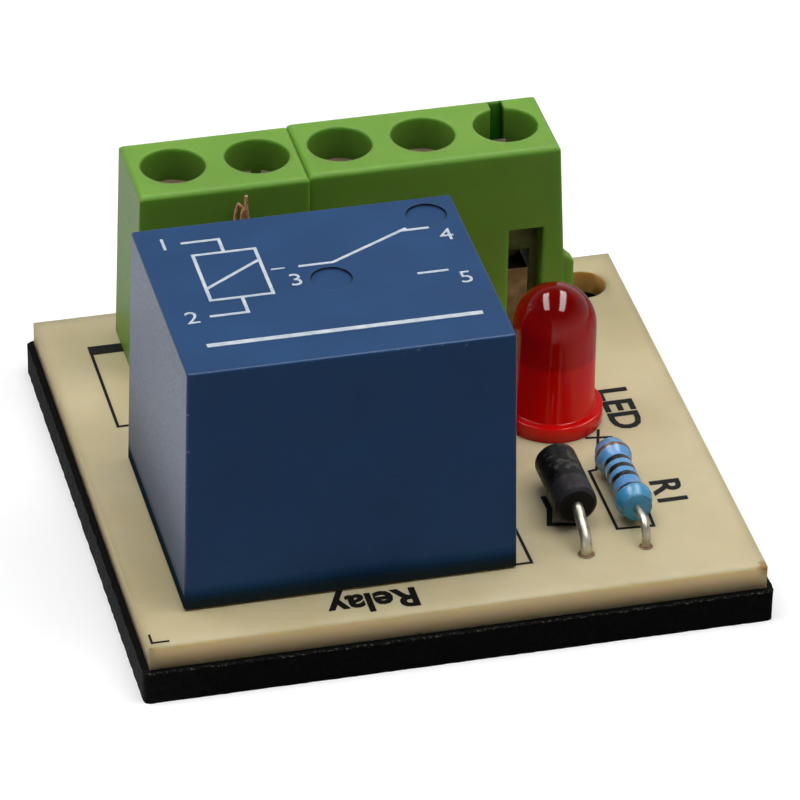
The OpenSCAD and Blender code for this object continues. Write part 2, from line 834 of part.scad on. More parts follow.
module clamp_contact(i) {
    plate_l = cage_d + plate_t - slide_fit;
    color("#b9b2a4") {
        in_pole(i)
            translate([-plate_w / 2, plate_y, 0]) {
                cube([plate_w, plate_t, plate_z + plate_t]);
                translate([0, 0, plate_z])
                    cube([plate_w, plate_l, plate_t]);
            }
        lead_post(POLE_PINS[i], eps);
    }
}

// Straight part of the lamp's lead frame inside the lens, with its head
module led_frame(p, head_l, head_side, gap) {
    head_x = p[0] - (head_side < 0 ? led_lead / 2 : head_l - led_lead / 2);
    translate([0, 0, top_z - eps])
        linear_extrude(led_frame_h - led_head_h + 2 * eps)
            lead_section(p, gap);
    translate([head_x - gap, p[1] - led_lead / 2 - gap, top_z + led_frame_h - led_head_h - gap])
        cube([head_l + 2 * gap, led_lead + 2 * gap, led_head_h + 2 * gap]);
}

// Reflector cup on the longer head, grown by a gap
module led_cup(gap) {
    translate([led_cup_x, led_y, led_cup_z - gap])
        cylinder(d = led_cup_d + 2 * gap, h = led_cup_h + 2 * gap);
}

module led_lens() {
    dome_z = led_h - led_d / 2;
    flat_room = 0.02;
    flat_x = led_d / 2 + flat_room;
    color("#b01510")
        difference() {
            translate([led_x, led_y, top_z]) {
                difference() {
                    cylinder(d = led_flange_d, h = led_flange_h);
                    translate([-led_flange_d, -led_flange_d / 2, -eps])
                        cube([led_flange_d - flat_x, led_flange_d, led_flange_h + 2 * eps]);
                }
                cylinder(d = led_d, h = dome_z);
                translate([0, 0, dome_z])
                    sphere(d = led_d);
            }
            led_frame(LED_PINS[0], led_cathode_l, -1, set_fit);
            led_frame(LED_PINS[1], led_anode_l, 1, set_fit);
            led_cup(set_fit);
        }
}

module led_cathode() {
    color("#c3c6c9") {
        lead_post(LED_PINS[0], 0);
        led_frame(LED_PINS[0], led_cathode_l, -1, 0);
        difference() {
            led_cup(0);
            translate([led_cup_x, led_y, led_cup_z + cup_floor])
                cylinder(d1 = led_cup_d - 2 * (cup_rim + cup_slope), d2 = led_cup_d - 2 * cup_rim,
                    h = led_cup_h - cup_floor + eps);
        }
    }
}

module led_anode() {
    color("#c3c6c9") {
        lead_post(LED_PINS[1], 0);
        led_frame(LED_PINS[1], led_anode_l, 1, 0);
    }
}

module led_die() {
    color("#d8c070")
        translate([led_cup_x - die_w / 2, led_y - die_w / 2, led_cup_z + cup_floor])
            cube([die_w, die_w, die_t]);
}

// Part of a bend in a lead, between two angles above level, around a point beside the lead
module lead_bend(lead_d, side, from, to) {
    rotate([90, 0, 90 * side])
        rotate(from)
            rotate_extrude(angle = to - from)
                translate([lead_turn(lead_d), 0])
                    circle(d = lead_d);
}

// Lead of an axial part: out of the body, down a slope, round a bend and through the board
module axial_lead(pin, end_y, axis_z, side, slope) {
    lead_d = pin[2];
    turn_r = lead_turn(lead_d);
    run = side * (pin[1] - end_y) - turn_r;
    turn_z = axis_z - turn_r - run * tan(slope);
    lead_post(pin, turn_z);
    translate([pin[0], pin[1] - side * turn_r, top_z + turn_z])
        lead_bend(lead_d, side, 0, 90 - slope);
    translate([pin[0], end_y, top_z + axis_z - turn_r]) {
        if (slope > 0)
            lead_bend(lead_d, side, 90 - slope, 90);
        rotate([-side * slope, 0, 0])
            translate([0, 0, turn_r])
                rotate([-90 * side, 0, 0])
                    cylinder(d = lead_d, h = run / cos(slope));
    }
}

module diode_body() {
    c = diode_chamfer;
    color("#191a1c")
        translate([diode_x, diode_front_y, top_z + diode_z])
            rotate([-90, 0, 0]) {
                cylinder(d1 = diode_d - 2 * c, d2 = diode_d, h = c);
                translate([0, 0, c])
                    cylinder(d = diode_d, h = diode_l - 2 * c);
                translate([0, 0, diode_l - c])
                    cylinder(d1 = diode_d, d2 = diode_d - 2 * c, h = c);
            }
}

module diode_lead(i) {
    color("#b9bbbd")
        axial_lead(DIODE_PINS[i], [diode_front_y, diode_back_y][i], diode_z,
            2 * i - 1, [diode_slope, 0][i]);
}

// Half outline of the resistor's body along its axis: two round caps and a slimmer barrel
module resistor_outline() {
    cap_r = cap_d / 2;
    nose = cap_l / 2;
    square([resistor_d / 2, resistor_l]);
    for (end = [nose, resistor_l - nose])
        translate([0, end])
            intersection() {
                translate([cap_r - nose, 0])
                    circle(r = nose);
                translate([0, -nose])
                    square([cap_r, 2 * nose]);
            }
}

module resistor_body() {
    color("#5f9fcb")
        translate([resistor_x, resistor_front_y, top_z + resistor_z])
            rotate([-90, 0, 0])
                rotate_extrude()
                    resistor_outline();
}

module resistor_lead(i) {
    color("#b9bbbd")
        axial_lead(RESISTOR_PINS[i], [resistor_front_y, resistor_back_y][i], resistor_z, 2 * i - 1, 0);
}

foam_pad();
circuit_board();
copper_tracks();
solder_joints();
relay_cover();
relay_base();
coil_bobbin();
coil_winding();
coil_core();
relay_yoke();
relay_armature();
contact_blade();
moving_contact();
open_contact_strip();
open_contact_tip();
closed_contact_strip();
closed_contact_tip();
coil_post(0);  // coil_pin_1
coil_post(1);  // coil_pin_2
two_pole_housing();
three_pole_housing();
for (i = [0:POLES - 1]) {
    clamp_screw(i);
    clamp_cage(i);
    clamp_contact(i);
}
led_lens();
led_cathode();
led_anode();
led_die();
diode_body();
diode_lead(0);  // diode_lead_1
diode_lead(1);  // diode_lead_2
resistor_body();
resistor_lead(0);  // resistor_lead_1
resistor_lead(1);  // resistor_lead_2
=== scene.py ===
"""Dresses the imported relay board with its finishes, pad, lens, prints and residues, in a plain studio."""
import json
import logging
import math
from contextlib import contextmanager
from dataclasses import dataclass, field
from enum import Enum
from typing import Callable, Iterator

import bmesh
import bpy
from mathutils import Matrix, Vector


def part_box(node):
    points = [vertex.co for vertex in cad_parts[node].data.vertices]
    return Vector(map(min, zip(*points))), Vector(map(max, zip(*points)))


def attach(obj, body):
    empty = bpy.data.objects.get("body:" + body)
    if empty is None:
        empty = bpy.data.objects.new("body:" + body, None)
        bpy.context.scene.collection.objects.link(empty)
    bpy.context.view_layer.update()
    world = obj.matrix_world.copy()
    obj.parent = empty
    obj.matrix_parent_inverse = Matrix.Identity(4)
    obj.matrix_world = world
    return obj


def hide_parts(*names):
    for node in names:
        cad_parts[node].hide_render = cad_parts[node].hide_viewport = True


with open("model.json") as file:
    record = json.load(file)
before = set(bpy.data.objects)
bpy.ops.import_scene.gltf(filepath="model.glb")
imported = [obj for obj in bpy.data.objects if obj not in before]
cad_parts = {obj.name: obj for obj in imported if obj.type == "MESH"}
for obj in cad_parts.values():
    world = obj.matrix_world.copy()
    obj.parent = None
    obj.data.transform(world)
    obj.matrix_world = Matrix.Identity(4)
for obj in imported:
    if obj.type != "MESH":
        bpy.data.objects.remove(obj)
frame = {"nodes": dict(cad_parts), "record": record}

MM = 0.001
BODY = "module"
LOG = logging.getLogger("relay_board")
Piece = bpy.types.Object
Socket = bpy.types.NodeSocket
Pair = tuple[float, float]
Triple = tuple[float, float, float]

# Sockets of the Mix node: its two colours and their mix, then its two vectors and theirs
MIX_A, MIX_B, MIX_OUT = 6, 7, 2
MIX_FROM, MIX_TO, MIX_BETWEEN = 4, 5, 1
# Levels that most of a noise lies between
NOISE_LOW, NOISE_HIGH = 0.3, 0.7
# Distances in metres within which two vertices become one
FINE_WELD, WELD = 1e-7, 1e-6
# Height of a capital letter, as a share of the size that a text is given
CAPITALS = 0.7


class Pick(Enum):
    """What a selection in edit mode is made of."""

    VERTS = "VERT"
    EDGES = "EDGE"
    FACES = "FACE"


class Along(Enum):
    """Which axes a mark on a surface keeps when its distance from a line is taken."""

    UPRIGHT = (1.0, 1.0, 0.0)
    CROSSWISE = (0.0, 1.0, 1.0)


class Blend(Enum):
    """How one tone passes into the next."""

    EVEN = "LINEAR"
    SOFT = "SMOOTHSTEP"


def linear(code: str) -> tuple[float, float, float, float]:
    """Turns an sRGB colour into linear light.

    Args:
        code: Colour as "#rrggbb".

    Returns:
        Linear red, green and blue, with full alpha.
    """
    parts = [int(code[i:i + 2], 16) / 255 for i in (1, 3, 5)]
    red, green, blue = (c / 12.92 if c <= 0.04045 else ((c + 0.055) / 1.055) ** 2.4 for c in parts)
    return (red, green, blue, 1.0)


def per_mm(size: float) -> float:
    """Gives the texture scale at which one feature is this many millimetres wide."""
    return 1 / (size * MM)


@dataclass
class Nodes:
    """The nodes of one material or world, with its Object coordinates and the colour laid so far."""

    tree: bpy.types.NodeTree
    place: Socket | None = None
    colour: Socket | tuple | None = None

    def add(self, kind: str, links: dict | None = None, out: int | str = 0, **settings: object) -> Socket | None:
        """Adds a node with its settings and links.

        Args:
            kind: Node type without its ShaderNode prefix.
            links: Socket name or number to a value, or to the output that feeds it.
            out: Name or number of the output that is wanted.
            **settings: Properties of the node.

        Returns:
            That output, or None from a node that has none.
        """
        node = self.tree.nodes.new("ShaderNode" + kind)
        for name, value in settings.items():
            setattr(node, name, value)
        for socket, value in (links or {}).items():
            if isinstance(value, Socket):
                self.tree.links.new(value, node.inputs[socket])
            else:
                node.inputs[socket].default_value = value
        return node.outputs[out] if node.outputs else None

    def paint(self, paint: str | Socket, *covers: Socket) -> None:
        """Lays a paint over the colour so far, as far as all the covers let it show.

        Args:
            paint: Colour as "#rrggbb", or the output that gives it.
            *covers: Outputs from nought to one.
        """
        shown = covers[0]
        for cover in covers[1:]:
            shown = self.add("Math", {0: shown, 1: cover}, operation="MULTIPLY")
        over = linear(paint) if isinstance(paint, str) else paint
        self.colour = self.add("Mix", {0: shown, MIX_A: self.colour, MIX_B: over}, MIX_OUT, data_type="RGBA")


@dataclass(frozen=True)
class Specks:
    """Spots where a fine noise rises past a level: their size in millimetres, and how fully they show."""

    size: float
    start: float
    full: float
    most: float = 1.0
    detail: float = 1.0

    def cover(self, nodes: Nodes) -> Socket:
        """Scatters the spots.

        Args:
            nodes: Nodes of the material.

        Returns:
            How much the spots show.
        """
        noise = nodes.add("TexNoise", {"Vector": nodes.place, "Scale": per_mm(self.size), "Detail": self.detail})
        return nodes.add("MapRange", {"Value": noise, "From Min": self.start, "From Max": self.full,
                                      "To Max": self.most})


def alone(piece: Piece) -> None:
    """Makes one object the only selected and the active one.

    Args:
        piece: Object to select.
    """
    bpy.ops.object.select_all(action="DESELECT")
    piece.select_set(True)
    bpy.context.view_layer.objects.active = piece


@contextmanager
def editing(piece: Piece) -> Iterator[None]:
    """Holds a piece in edit mode, with all of it selected at the start.

    Args:
        piece: Mesh object to edit.

    Yields:
        Nothing; the piece is in edit mode meanwhile.
    """
    alone(piece)
    bpy.ops.object.mode_set(mode="EDIT")
    bpy.ops.mesh.select_all(action="SELECT")
    yield
    bpy.ops.object.mode_set(mode="OBJECT")


def pick(piece: Piece, kind: Pick, test: Callable[[object], bool]) -> None:
    """Selects only what passes a test, on a piece in edit mode.

    Args:
        piece: Mesh object in edit mode.
        kind: Whether vertices, edges or faces are tested.
        test: Takes one element and says whether it is selected.
    """
    bpy.ops.mesh.select_mode(type=kind.value)
    bpy.ops.mesh.select_all(action="DESELECT")
    mesh = bmesh.from_edit_mesh(piece.data)
    for element in {Pick.VERTS: mesh.verts, Pick.EDGES: mesh.edges, Pick.FACES: mesh.faces}[kind]:
        if test(element):
            element.select_set(True)
    mesh.select_flush_mode()
    bmesh.update_edit_mesh(piece.data)


def named(name: str) -> Piece:
    """Names the object that an operator has just added, and its mesh.

    Args:
        name: Name for both.

    Returns:
        The object.
    """
    piece = bpy.context.object
    piece.name = piece.data.name = name
    return piece


def set_down(piece: Piece) -> None:
    """Puts a piece's place, turn and size into its mesh."""
    alone(piece)
    bpy.ops.object.transform_apply(location=True, rotation=True, scale=True)


def settle(piece: Piece, crease: float) -> None:
    """Puts a piece's place into its mesh, points its faces outwards and shades it smooth.

    Args:
        piece: Mesh object that is in its place.
        crease: Edges sharper than this many degrees stay sharp.
    """
    set_down(piece)
    with editing(piece):
        bpy.ops.mesh.remove_doubles(threshold=FINE_WELD)
        bpy.ops.mesh.normals_make_consistent(inside=False)
    bpy.ops.object.shade_smooth_by_angle(angle=math.radians(crease))


def apply_modifier(piece: Piece, kind: str, **settings: object) -> None:
    """Adds a modifier with its settings and applies it.

    Args:
        piece: Mesh object.
        kind: Modifier type.
        **settings: Properties of the modifier.
    """
    modifier = piece.modifiers.new(kind.lower(), kind)
    for name, value in settings.items():
        setattr(modifier, name, value)
    alone(piece)
    bpy.ops.object.modifier_apply(modifier=modifier.name)


def joined(name: str, parts: list[Piece]) -> Piece:
    """Joins parts into one object.

    Args:
        name: Name of the joined object.
        parts: Mesh objects, at least one.

    Returns:
        The joined object.
    """
    alone(parts[0])
    for part in parts:
        part.select_set(True)
    bpy.ops.object.join()
    return named(name)


def turned(name: str, profile: list[Pair], segments: int) -> Piece:
    """Makes a turned solid about the Z axis by extruding and resizing one ring after another.

    Args:
        name: Name of the object.
        profile: Height and radius of each ring, in millimetres, from the bottom up.
        segments: Vertices in a ring.

    Returns:
        The solid, standing at the origin.
    """
    bpy.ops.object.select_all(action="DESELECT")
    height, radius = profile[0]
    bpy.ops.mesh.primitive_circle_add(vertices=segments, radius=radius * MM, fill_type="NGON",
                                      location=(0, 0, height * MM))
    piece = named(name)
    with editing(piece):
        bpy.ops.mesh.select_mode(type="FACE")
        for (h0, r0), (h1, r1) in zip(profile, profile[1:]):
            bpy.ops.mesh.extrude_region_move(TRANSFORM_OT_translate={"value": (0, 0, (h1 - h0) * MM)})
            bpy.ops.transform.resize(value=(r1 / r0, r1 / r0, 1), center_override=(0, 0, h1 * MM))
    return piece


def mounting_hole() -> Vector:
    """Finds the axis of the mounting hole.

    Returns:
        Where it meets the floor.
    """
    mount = next(m for m in frame["record"]["mounts"] if m["name"] == "mounting_hole")
    return Vector((mount["pos_m"][0], mount["pos_m"][1], 0))


def seat(piece: Piece, finish: "Finish", slot: str, *stands_for: str) -> None:
    """Gives a finished piece its material and its body, and hides the solids that it stands for.

    Args:
        piece: Finished mesh object.
        finish: Its finish.
        slot: Not used.
        *stands_for: CAD nodes that it replaces.
    """
    piece.data.materials.clear()
    piece.data.materials.append(finish.material())
    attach(piece, BODY)
    if stands_for:
        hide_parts(*stands_for)
    LOG.info("%s: %d faces, %s", piece.name, len(piece.data.polygons), finish.title)


@dataclass(frozen=True)
class Finish:
    """A surface with cloudy colour, uneven gloss and a fine relief.

    Sizes are in millimetres. The edge is how far sharp edges look rounded, the bleed how far light creeps
    below the surface, by colour, and the creep how much of it does.
    """

    title: str
    light: str
    dark: str
    mottle: float
    roughness: float
    uneven: float
    grain: float
    relief: float
    edge: float = 0.0
    metallic: float = 0.0
    ior: float = 1.5
    drawn: Triple = (1.0, 1.0, 1.0)
    bleed: Triple = (0.0, 0.0, 0.0)
    creep: float = 0.6

    def tint(self, nodes: Nodes) -> None:
        """Lays the finish's own marks on its colour; a plain finish has none."""

    def inside(self, nodes: Nodes) -> dict:
        """Gives what fills the piece below its surface; a plain finish has nothing."""
        return {}

    def rounding(self, nodes: Nodes) -> Socket:
        """Gives the normal that makes sharp edges look rounded."""
        return nodes.add("Bevel", {"Radius": self.edge * MM}, samples=6)

    def surface(self, nodes: Nodes, inputs: dict) -> Socket:
        """Adds the shader.

        Args:
            nodes: Nodes of the material.
            inputs: Colour, roughness and normal for the shader.

        Returns:
            The shader's output.
        """
        even = {} if self.metallic == 1.0 else {"IOR": self.ior}
        if any(self.bleed):
            even |= {"Subsurface Weight": self.creep, "Subsurface Radius": self.bleed, "Subsurface Scale": MM}
        return nodes.add("BsdfPrincipled", {**inputs, **even, "Metallic": self.metallic})

    def material(self) -> bpy.types.Material:
        """Builds the material, once.

        Returns:
            The finish's material.
        """
        found = bpy.data.materials.get(self.title)
        if found:
            return found
        material = bpy.data.materials.new(self.title)
        material.use_nodes = True
        material.node_tree.nodes.clear()
        nodes = Nodes(material.node_tree, colour=linear(self.dark))
        nodes.place = nodes.add("TexCoord", out="Object")
        along = nodes.add("Mapping", {"Vector": nodes.place, "Scale": self.drawn})
        clouds = nodes.add("TexNoise", {"Vector": along, "Scale": per_mm(self.mottle), "Detail": 3.0})
        nodes.paint(self.light, nodes.add("MapRange", {"Value": clouds, "From Min": NOISE_LOW,
                                                       "From Max": NOISE_HIGH}))
        grain = nodes.add("TexNoise", {"Vector": along, "Scale": per_mm(self.grain), "Detail": 2.0})
        gloss = nodes.add("MapRange", {
            "Value": grain, "From Min": NOISE_LOW, "From Max": NOISE_HIGH,
            "To Min": self.roughness - self.uneven, "To Max": self.roughness + self.uneven})
        bumps = {"Height": grain, "Distance": self.relief * MM, "Strength": 1.0}
        if self.edge:
            bumps["Normal"] = self.rounding(nodes)
        self.tint(nodes)
        shader = self.surface(nodes, {"Base Color": nodes.colour, "Roughness": gloss,
                                      "Normal": nodes.add("Bump", bumps)})
        nodes.add("OutputMaterial", {"Surface": shader, **self.inside(nodes)})
        return material


@dataclass(frozen=True)
class MouldedCover(Finish):
    """Glass-filled polyester, moulded: a fine matt skin, grey at a glance, nicked pale along two edges, with
    painted shade at its foot and in its round marks.
    """

    nick: str = "#8ea6bd"
    speck: str = "#0a1a30"
    # Painted shade on the cover's foot, where it meets the board
    shade: str = "#232d33"
    # Painted shade in the round marks and other hollows of the cover
    painted_recess_shade: str = "#04101e"
    # Height in millimetres over the foot where the painted shade starts; it is full at a sixth of it
    foot: float = 1.5
    # Height in millimetres over the foot up to which the sheen grows back; below half of it the sheen is cut away,
    # as painted shade
    dull: float = 1.6
    gleam: float = 0.5
    reach: float = 0.4
    recess_shade_start: float = 0.9
    recess_shade_full: float = 0.6
    corner_inset: float = 0.3
    front_inset: float = 0.4
    top_inset: float = 0.2
    nick_width: float = 0.2
    nick_most: float = 0.3
    grit: Specks = Specks(0.22, 0.72, 0.78, 0.4)
    chips: Specks = Specks(0.35, 0.64, 0.7, detail=2.0)

    def surface(self, nodes: Nodes, inputs: dict) -> Socket:
        """Adds the shader, with its sheen cut at the very foot as painted shade.

        Args:
            nodes: Nodes of the material.
            inputs: Colour, roughness and normal for the shader.

        Returns:
            The shader's output.
        """
        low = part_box("relay_cover")[0].z
        height = nodes.add("SeparateXYZ", {0: nodes.place}, "Z")
        # Painted shade: the sheen fades out towards the foot
        gleam = nodes.add("MapRange", {"Value": height, "From Min": low + self.dull / 2 * MM,
                                       "From Max": low + self.dull * MM, "To Max": self.gleam})
        return super().surface(nodes, {**inputs, "Specular IOR Level": gleam})

    def tint(self, nodes: Nodes) -> None:
        """Paints shade on the foot and on the walls of the round marks, and adds specks and pale nicks.

        Args:
            nodes: Nodes of the material.
        """
        low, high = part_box("relay_cover")
        height = nodes.add("SeparateXYZ", {0: nodes.place}, "Z")
        # Painted shade: the foot darkens towards the board, for the shadow where the cover stands on it
        nodes.paint(self.shade, nodes.add("MapRange", {
            "Value": height, "From Min": low.z + self.foot * MM, "From Max": low.z + self.foot / 6 * MM},
            interpolation_type=Blend.SOFT.value))
        # Painted shade: darker where the cover's own surface closes round, as on the walls of the round marks
        air = nodes.add("AmbientOcclusion", {"Distance": self.reach * MM}, "AO", samples=8, only_local=True)
        nodes.paint(self.painted_recess_shade, nodes.add("MapRange", {"Value": air, "From Min": self.recess_shade_start,
                                                     "From Max": self.recess_shade_full}))
        nodes.paint(self.speck, self.grit.cover(nodes))
        chipped = self.chips.cover(nodes)
        corner, front, top = self.corner_inset * MM, self.front_inset * MM, self.top_inset * MM
        lines = ((Along.UPRIGHT, Vector((low.x + corner, low.y + corner, 0))),
                 (Along.CROSSWISE, Vector((0, low.y + front, high.z - top))))
        for keep, line in lines:
            near = nodes.add("Mapping", {"Vector": nodes.place, "Location": -line, "Scale": keep.value})
            far = nodes.add("VectorMath", {0: near}, "Value", operation="LENGTH")
            edge = nodes.add("MapRange", {"Value": far, "From Min": self.nick_width * MM,
                                          "From Max": self.nick_width / 2 * MM, "To Max": self.nick_most})
            nodes.paint(self.nick, edge, chipped)


@dataclass(frozen=True)
class CutLaminate(Finish):
    """Paper laminate, sawn: a cream face with cloudy fibres, and pale cut edges, paler still as painted light,
    darker towards the bottom as painted shade.
    """

    # Pale cut edge, made paler still as painted light on the sides
    cut: str = "#f5deaa"
    # Painted shade towards the bottom of the sawn sides
    painted_low_shade: str = "#e8cf9c"
    scorch: str = "#a98145"
    drilled: str = "#e0b46a"
    soft: float = 1.3
    soft_start: float = 1.2
    steep_start: float = 0.7
    steep_full: float = 0.3
    sawn_most: float = 0.9
    low_shade_start: float = 0.5
    bore_start: float = 2.0
    bore_full: float = 1.8
    fibre: float = 0.5
    ragged: float = 1.6
    chip_start: float = 1.5
    chip_full: float = 1.1
    chip_most: float = 0.8

    def rounding(self, nodes: Nodes) -> Socket:
        """Rounds the outer edges broadly and all other edges a little.

        Args:
            nodes: Nodes of the material.

        Returns:
            The rounded normal.
        """
        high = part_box("circuit_board")[1]
        spread = nodes.add("VectorMath", {0: nodes.place}, operation="ABSOLUTE")
        inside = nodes.add("VectorMath", {0: spread, 1: high}, operation="SUBTRACT")
        axes = nodes.add("SeparateXYZ", {0: inside}).node.outputs
        nearest = nodes.add("Math", {0: axes["X"], 1: axes["Y"]}, operation="MAXIMUM")
        rim = nodes.add("MapRange", {"Value": nearest, "From Min": -self.soft_start * self.soft * MM,
                                     "From Max": -self.soft * MM})
        broad = nodes.add("Bevel", {"Radius": self.soft * MM}, samples=8)
        return nodes.add("Mix", {0: rim, MIX_FROM: super().rounding(nodes), MIX_TO: broad}, MIX_BETWEEN,
                         data_type="VECTOR")

    def tint(self, nodes: Nodes) -> None:
        """Paints the sawn edges pale, partly as painted light, and darker towards the bottom as painted shade;
        browns the drilled walls and one chipped corner.

        Args:
            nodes: Nodes of the material.
        """
        low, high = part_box("circuit_board")
        # The sawn sides start from the pale cut tone, which is partly painted light
        face, nodes.colour = nodes.colour, linear(self.cut)
        height = nodes.add("SeparateXYZ", {0: nodes.place}, "Z")
        # Painted shade: the sawn sides darken towards the bottom, beside the black pad
        nodes.paint(self.painted_low_shade, nodes.add("MapRange", {
            "Value": height, "From Min": high.z - self.low_shade_start * MM, "From Max": low.z},
            interpolation_type=Blend.SOFT.value))
        near = nodes.add("Mapping", {"Vector": nodes.place, "Location": -mounting_hole(),
                                     "Scale": Along.UPRIGHT.value})
        away = nodes.add("VectorMath", {0: near}, "Value", operation="LENGTH")
        nodes.paint(self.drilled, nodes.add("MapRange", {"Value": away, "From Min": self.bore_start * MM,
                                                         "From Max": self.bore_full * MM}))
        sawn, nodes.colour = nodes.colour, face
        level = nodes.add("SeparateXYZ", {0: nodes.add("NewGeometry", out="True Normal")}, "Z")
        flat = nodes.add("Math", {0: level}, operation="ABSOLUTE")
        nodes.paint(sawn, nodes.add("MapRange", {"Value": flat, "From Min": self.steep_start,
                                                 "From Max": self.steep_full, "To Max": self.sawn_most}))
        corner = nodes.add("VectorMath", {0: nodes.place, 1: Vector((high.x, low.y, high.z))}, "Value",
                           operation="DISTANCE")
        fibres = nodes.add("TexNoise", {"Vector": nodes.place, "Scale": per_mm(self.fibre), "Detail": 3.0})
        ragged = nodes.add("Math", {0: fibres, 1: self.ragged * MM, 2: corner}, operation="MULTIPLY_ADD")
        nodes.paint(self.scorch, nodes.add("MapRange", {
            "Value": ragged, "From Min": self.chip_start * MM, "From Max": self.chip_full * MM,
            "To Max": self.chip_most}))


@dataclass(frozen=True)
class BandedBody(Finish):
    """Lacquered or moulded body with bands painted round it, a little wavy at their edges.

    Bands run across the Y axis: middle and half width in millimetres, and colour.
    """

    bands: tuple[tuple[float, float, str], ...] = ()
    wave: float = 0.12
    brush: float = 0.7

    def tint(self, nodes: Nodes) -> None:
        """Paints the bands.

        Args:
            nodes: Nodes of the material.
        """
        length = nodes.add("SeparateXYZ", {0: nodes.place}, "Y")
        brush = nodes.add("TexNoise", {"Vector": nodes.place, "Scale": per_mm(self.brush), "Detail": 1.0})
        wavy = nodes.add("Math", {0: brush, 1: self.wave * MM, 2: length}, operation="MULTIPLY_ADD")
        for middle, half, paint in self.bands:
            nodes.paint(paint, nodes.add("Math", {0: wavy, 1: (middle + self.wave / 2) * MM, 2: half * MM},
                                         operation="COMPARE"))


@dataclass(frozen=True)
class MouldedDiode(BandedBody):
    """Epoxy, transfer moulded: black, with a smooth grey band and a rough, half rubbed print behind it."""

    print_tone: str = "#474644"
    print_back: float = -6.6
    print_front: float = -9.7
    print_low: float = 5.6
    print_high: float = 6.3
    flecks: Specks = Specks(0.42, 0.53, 0.62, 0.8, 3.0)

    def tint(self, nodes: Nodes) -> None:
        """Adds the rubbed print behind the band.

        Args:
            nodes: Nodes of the material.
        """
        super().tint(nodes)
        axes = nodes.add("SeparateXYZ", {0: nodes.place}).node.outputs
        middle, half = (self.print_back + self.print_front) / 2, (self.print_back - self.print_front) / 2
        reach = nodes.add("Math", {0: axes["Y"], 1: middle * MM, 2: half * MM}, operation="COMPARE")
        top = nodes.add("MapRange", {"Value": axes["Z"], "From Min": self.print_low * MM,
                                     "From Max": self.print_high * MM})
        nodes.paint(self.print_tone, reach, top, self.flecks.cover(nodes))


@dataclass(frozen=True)
class CutFoam(Finish):
    """Closed-cell foam, knife cut: dull black skin, open cells on the cut sides, a pale frayed front top rim,
    partly a painted highlight.
    """

    # Pale fray on the front top rim, partly a painted highlight of the edge
    fray: str = "#5e5b54"
    rim: float = 0.08
    front_start: float = 0.25
    front_full: float = 0.1
    fray_and_glint_specks: Specks = Specks(0.2, 0.54, 0.66, 0.85, 3.0)

    def tint(self, nodes: Nodes) -> None:
        """Whitens the frayed front top rim, partly as a painted highlight of the edge.

        Args:
            nodes: Nodes of the material.
        """
        low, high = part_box("foam_pad")
        axes = nodes.add("SeparateXYZ", {0: nodes.place}).node.outputs
        rim = nodes.add("MapRange", {"Value": axes["Z"], "From Min": high.z - self.rim * MM, "From Max": high.z})
        front = nodes.add("MapRange", {"Value": axes["Y"], "From Min": low.y + self.front_start * MM,
                                       "From Max": low.y + self.front_full * MM})
        nodes.paint(self.fray, rim, front, self.fray_and_glint_specks.cover(nodes))


@dataclass(frozen=True)
class TintedEpoxy(Finish):
    """Epoxy, cast clear and dyed: deep red where it is thick, painted light low down and at the flange, painted
    shade on top, mirror smooth.
    """

    depth: str = "#e01008"
    # Painted light on the lower part of the lens
    lit: str = "#e60b06"
    # Painted shade on the top of the dome
    painted_crown_shade: str = "#760302"
    # Painted light on the flange's rim
    painted_lit_brim: str = "#e6110a"
    dust: str = "#9a5a48"
    lit_start: float = 4.85
    lit_full: float = 4.55
    lit_brim_start: float = 1.0
    lit_brim_full: float = 0.9
    crown_shade_start: float = 2.9
    crown_shade_full: float = 0.3
    density: float = 120.0
    clear: float = 0.06
    gleam: float = 0.22
    creep: float = 0.85
    motes: Specks = Specks(0.4, 0.74, 0.78, 0.5)

    def tint(self, nodes: Nodes) -> None:
        """Paints light low down and on the flange's rim, for light that comes in from the board, paints shade on
        the top and adds dust.

        Args:
            nodes: Nodes of the material.
        """
        low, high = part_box("led_lens")
        height = nodes.add("SeparateXYZ", {0: nodes.place}, "Z")
        # Painted light low down and on the flange's rim, painted shade on the top
        for paint, start, full, blend in (
                (self.lit, low.z + self.lit_start * MM, low.z + self.lit_full * MM, Blend.EVEN),
                (self.painted_lit_brim, low.z + self.lit_brim_start * MM, low.z + self.lit_brim_full * MM, Blend.EVEN),
                (self.painted_crown_shade, high.z - self.crown_shade_start * MM, high.z - self.crown_shade_full * MM, Blend.SOFT)):
            nodes.paint(paint, nodes.add("MapRange", {"Value": height, "From Min": start, "From Max": full},
                                         interpolation_type=blend.value))
        nodes.paint(self.dust, self.motes.cover(nodes))

    def inside(self, nodes: Nodes) -> dict:
        """Dyes the epoxy all through."""
        return {"Volume": nodes.add("VolumeAbsorption", {"Color": linear(self.depth), "Density": self.density})}

    def surface(self, nodes: Nodes, inputs: dict) -> Socket:
        """Adds a shader that is a little clear."""
        clear = {"Transmission Weight": self.clear, "Specular IOR Level": self.gleam}
        return super().surface(nodes, {**inputs, **clear})


@dataclass(frozen=True)
class MouldedHousing(Finish):
    """Polyamide, moulded: waxy light green, with painted shade down in the wells and slots."""

    # Painted shade down in the wells and slots
    painted_well_shade: str = "#1e3a0d"
    reach: float = 3.0
    well_shade_start: float = 0.85
    well_shade_full: float = 0.3

    def tint(self, nodes: Nodes) -> None:
        """Paints shade where little light reaches."""
        # Painted shade: darker where the housing's own surface closes round, as in the wells
        air = nodes.add("AmbientOcclusion", {"Distance": self.reach * MM}, "AO", samples=8, only_local=True)
        nodes.paint(self.painted_well_shade, nodes.add("MapRange", {"Value": air, "From Min": self.well_shade_start,
                                                       "From Max": self.well_shade_full}))


